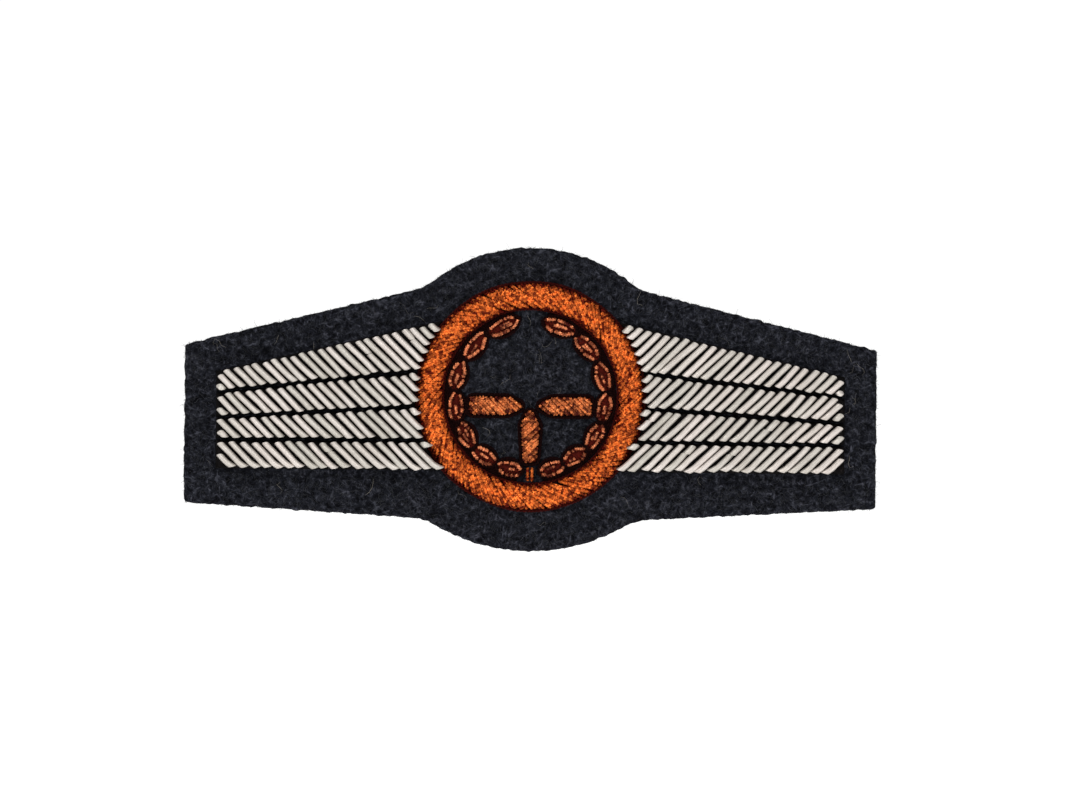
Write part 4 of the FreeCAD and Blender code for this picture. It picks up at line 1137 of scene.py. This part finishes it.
def make_leaf(side, number):
    """A dark bed, satin threads across it, and cut purl along its sides and middle.

    Returns the loop that the thread round the leaf follows.
    """
    node = f"{side}_leaf_{number}"
    chance = dice(node)
    points = np.vstack(solids_of(node))
    centre, along, _, length, width = principal(points)
    middle = centre + chance.normal(0, 0.05, 2) * MM
    heading = turned(along, chance.normal(0, math.radians(4)))
    aside = right_of(heading)
    half = length / 2 + 0.12 * MM
    broad = width / 2 * 1.1

    def on_leaf(share, offset):
        return (middle[None, :] + heading[None, :] * (share * half)[:, None]
                + aside[None, :] * offset[:, None])

    bed = Shell()
    long_steps, cross_steps = 21, 9
    offsets = np.linspace(-1, 1, cross_steps)
    rows = []
    for share in np.linspace(-1, 1, long_steps):
        wide = leaf_half_width(share, broad * 1.02)
        spots = on_leaf(np.full(cross_steps, share), offsets * wide)
        rise = 0.24 * MM * (1 - offsets ** 2) * (1 - share ** 2) ** 0.5
        rows.append(in_space(spots, WOOL_FRONT - 0.02 * MM - rise))
    grid = np.array(rows).reshape(-1, 3)
    index = np.arange(len(grid)).reshape(long_steps, cross_steps)
    quads = np.stack([index[:-1, :-1], index[1:, :-1], index[1:, 1:], index[:-1, 1:]],
                     axis=2).reshape(-1, 4)
    under = grid.copy()
    under[:, 1] = WOOL_FRONT + 0.02 * MM
    bed.add(grid, quads[:, ::-1])
    bed.add(under, quads)
    rim = np.concatenate([index[:, 0], index[-1, 1:], index[-2::-1, -1], index[0, -2:0:-1]])
    join_rings(bed, rim, rim + len(grid))
    tilt = 0.35  # how far back towards the stalk each satin thread starts
    for share in np.linspace(-0.8, 0.8, 9):
        for sign in (-1, 1):
            wide = leaf_half_width(share, broad * 0.94)
            first = on_leaf(np.array([share - 0.5 * tilt]), np.array([0.04 * MM * sign]))[0]
            last = on_leaf(np.array([share]), np.array([sign * wide]))[0]
            path = laid_path(first, last, WOOL_FRONT - 0.27 * MM, 0.16 * MM, samples=8)
            tube(bed, path, 0.085 * MM, 6, tint=chance.uniform(0, 1))
    place(bed.finish(f"{node}_satin_bed", RED_THREAD), "dark_thread")

    shell = Shell()
    spread = 0.72             # the side strokes' place, as a share of the half width
    stroke = 0.205 * MM
    for sign in (-1, 1):
        start = -0.9 + chance.uniform(-0.04, 0.1)
        stop = 0.97 if sign == (1 if number % 2 else -1) else 0.8
        split = chance.uniform(-0.2, 0.3)
        for first, last in ((start, split - 0.03), (split + 0.03, stop)):
            share = np.linspace(first, last, 16)
            offset = sign * spread * leaf_half_width(share, broad)
            offset = offset + chance.normal(0, 0.06) * MM
            sway = np.sin(share * chance.uniform(4, 9) + chance.uniform(0, 6))
            offset = offset + 0.05 * MM * sway
            depth = WOOL_FRONT - 0.36 * MM - 0.08 * MM * (1 - share ** 2)
            check_purl(shell, in_space(on_leaf(share, offset), depth),
                       stroke * chance.uniform(0.85, 1.15), chance,
                       chance.uniform(0.25, 0.95))
    for _ in range(2 if chance.random() < 0.55 else 1):
        start = chance.uniform(-0.6, -0.2)
        share = np.linspace(start, start + chance.uniform(0.5, 0.8), 14)
        offset = np.full(14, chance.normal(0, 0.12) * MM)
        offset = offset + (share - start) * chance.normal(0, 0.15) * MM
        check_purl(shell, in_space(on_leaf(share, offset), WOOL_FRONT - 0.42 * MM),
                   0.18 * MM * chance.uniform(0.9, 1.1), chance, chance.uniform(0.2, 1))
    place(shell.finish(f"{node}_check_purl", ROSE_COPPER, smooth=False), "copper_purl", node)

    around = np.linspace(0, math.tau, 90, endpoint=False)
    share = np.cos(around)
    reach = (half + 0.14 * MM) / half
    offset = np.sign(np.sin(around)) * leaf_half_width(share, broad + 0.16 * MM)
    return on_leaf(share * reach, offset)[::-1]


def fill_behind_leaves(shell, loops):
    """Dark threads laid along the ring's inside, which close the space behind the leaves."""
    angles = [np.unwrap(np.arctan2(loop[:, 0], -loop[:, 1])) for loop in loops]
    low = min(angle.min() for angle in angles)
    high = max(angle.max() for angle in angles)
    inner = min(np.linalg.norm(loop, axis=1).max() for loop in loops) - 0.75 * MM
    outer = RING_INNER - CORD - 0.02 * MM
    for radius in np.arange(inner, outer, 0.2 * MM):
        trim = 0.02 + 0.05 * (radius - inner) / (outer - inner)
        turn = np.linspace(low + trim, high - trim, 240)
        line = radius * np.stack([np.sin(turn), -np.cos(turn)], axis=1)
        line = line + 0.02 * MM * ripple(line, 2 * MM, "fill")[:, None]
        plied(shell, in_space(line, WOOL_FRONT - 0.06 * MM), 0.13 * MM, closed=False, sides=5)


def make_wreath():
    """The leaves, the threads round them and the tie at the bottom."""
    for side in SIDES:
        threads = Shell()
        loops = [make_leaf(side, number) for number in LEAVES]
        for loop in loops:
            plied(threads, in_space(loop, WOOL_FRONT - 0.15 * MM), 0.23 * MM)
        fill_behind_leaves(threads, loops)
        place(threads.finish(f"{side}_wreath_thread", DARK_THREAD), "dark_thread",
              f"{side}_leaf_outlines")
    chance = dice("tie")
    shell = Shell()
    for points in solids_of("wreath_tie"):
        centre, along, _, length, width = principal(points)
        half = along * length / 2
        path = laid_path(centre - half, centre + half, WOOL_FRONT - 0.3 * MM, 0.2 * MM)
        check_purl(shell, path, width / 2 * 0.85, chance, chance.uniform(0.2, 0.8))
    place(shell.finish("wreath_tie_purl", COPPER, smooth=False), "copper_purl", "wreath_tie")


# ---- posts and clutches

def make_fastening(side):
    """Leaves the CAD solids and gives them plated metal."""
    for piece, material in (("post", STEEL), ("base", NICKEL), ("cap", NICKEL),
                            ("upper_wing", NICKEL), ("lower_wing", NICKEL)):
        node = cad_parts[f"{side}_clutch_{piece}"]
        node.data.materials.clear()
        node.data.materials.append(material)


# ---- stage

def make_stage():
    """A pale floor well below, white surroundings and three lamps."""
    floor_level = WOOL_LOW.z - 60 * MM
    mesh = bpy.data.meshes.new("floor")
    size = 2.2
    mesh.from_pydata([(-size, -size, floor_level), (size, -size, floor_level),
                      (size, size, floor_level), (-size, size, floor_level)], [],
                     [(0, 1, 2, 3)])
    floor = into_scene("pale_floor", mesh)
    make = Nodes("pale_floor")
    soft = make.noise(make.place, 3.0, 2.0, 0.5)
    make.drive("Base Color",
               make.ramp(soft, [(0.3, (0.90, 0.90, 0.90)), (0.7, (0.93, 0.93, 0.93))]))
    make.constants(Roughness=0.9, Emission_Strength=0.8)
    make.shader.inputs["Emission Color"].default_value = (*WHITE, 1.0)
    mesh.materials.append(make.material)

    world = bpy.data.worlds.new("studio")
    bpy.context.scene.world = world
    world.use_nodes = True
    tree = world.node_tree
    background = tree.nodes["Background"]
    seen = tree.nodes.new("ShaderNodeLightPath")
    level = tree.nodes.new("ShaderNodeMapRange")
    level.inputs["To Min"].default_value = ROOM_LIGHT
    level.inputs["To Max"].default_value = SEEN_WHITE
    tree.links.new(seen.outputs["Is Camera Ray"], level.inputs["Value"])
    tree.links.new(level.outputs["Result"], background.inputs["Strength"])
    background.inputs["Color"].default_value = (*WHITE, 1.0)

    centre = (CAD_LOW + CAD_HIGH) / 2
    lights = (("key", (-0.3, -0.7, 0.8), 0.5, 7.0), ("fill", (0.7, -0.7, 0.25), 0.6, 1.5),
              ("back", (0.2, 0.9, 0.7), 0.6, 6.0))
    for name, spot, size, power in lights:
        lamp = bpy.data.lights.new(name, "AREA")
        lamp.size = size
        lamp.energy = power
        light = into_scene(name, lamp)
        light.location = centre + Vector(spot)
        light.rotation_euler = (centre - light.location).to_track_quat("-Z", "Y").to_euler()


def make_camera():
    """Straight on, with the frame's width and the badge's slight turn as it was seen."""
    seen_width = 123.2 * MM
    distance = 420 * MM
    sensor = 36.0
    camera = bpy.data.cameras.new("camera")
    camera.sensor_width = sensor
    camera.lens = sensor * distance / seen_width
    camera.clip_start = 0.01
    camera.clip_end = 20.0
    eye = into_scene("camera", camera)
    eye.location = (0.35 * MM, WOOL_FRONT - distance, -0.40 * MM)
    eye.rotation_euler = (math.radians(90), math.radians(-0.58), 0)
    bpy.context.scene.camera = eye


make_stage()
make_camera()
make_wool()
make_backing()
for side in SIDES:
    for bar in BARS:
        make_feather_bar(side, bar)
make_ring()
for blade in BLADES:
    make_blade(blade)
make_wreath()
for side in SIDES:
    make_fastening(side)

bpy.context.scene.view_settings.view_transform = "Standard"
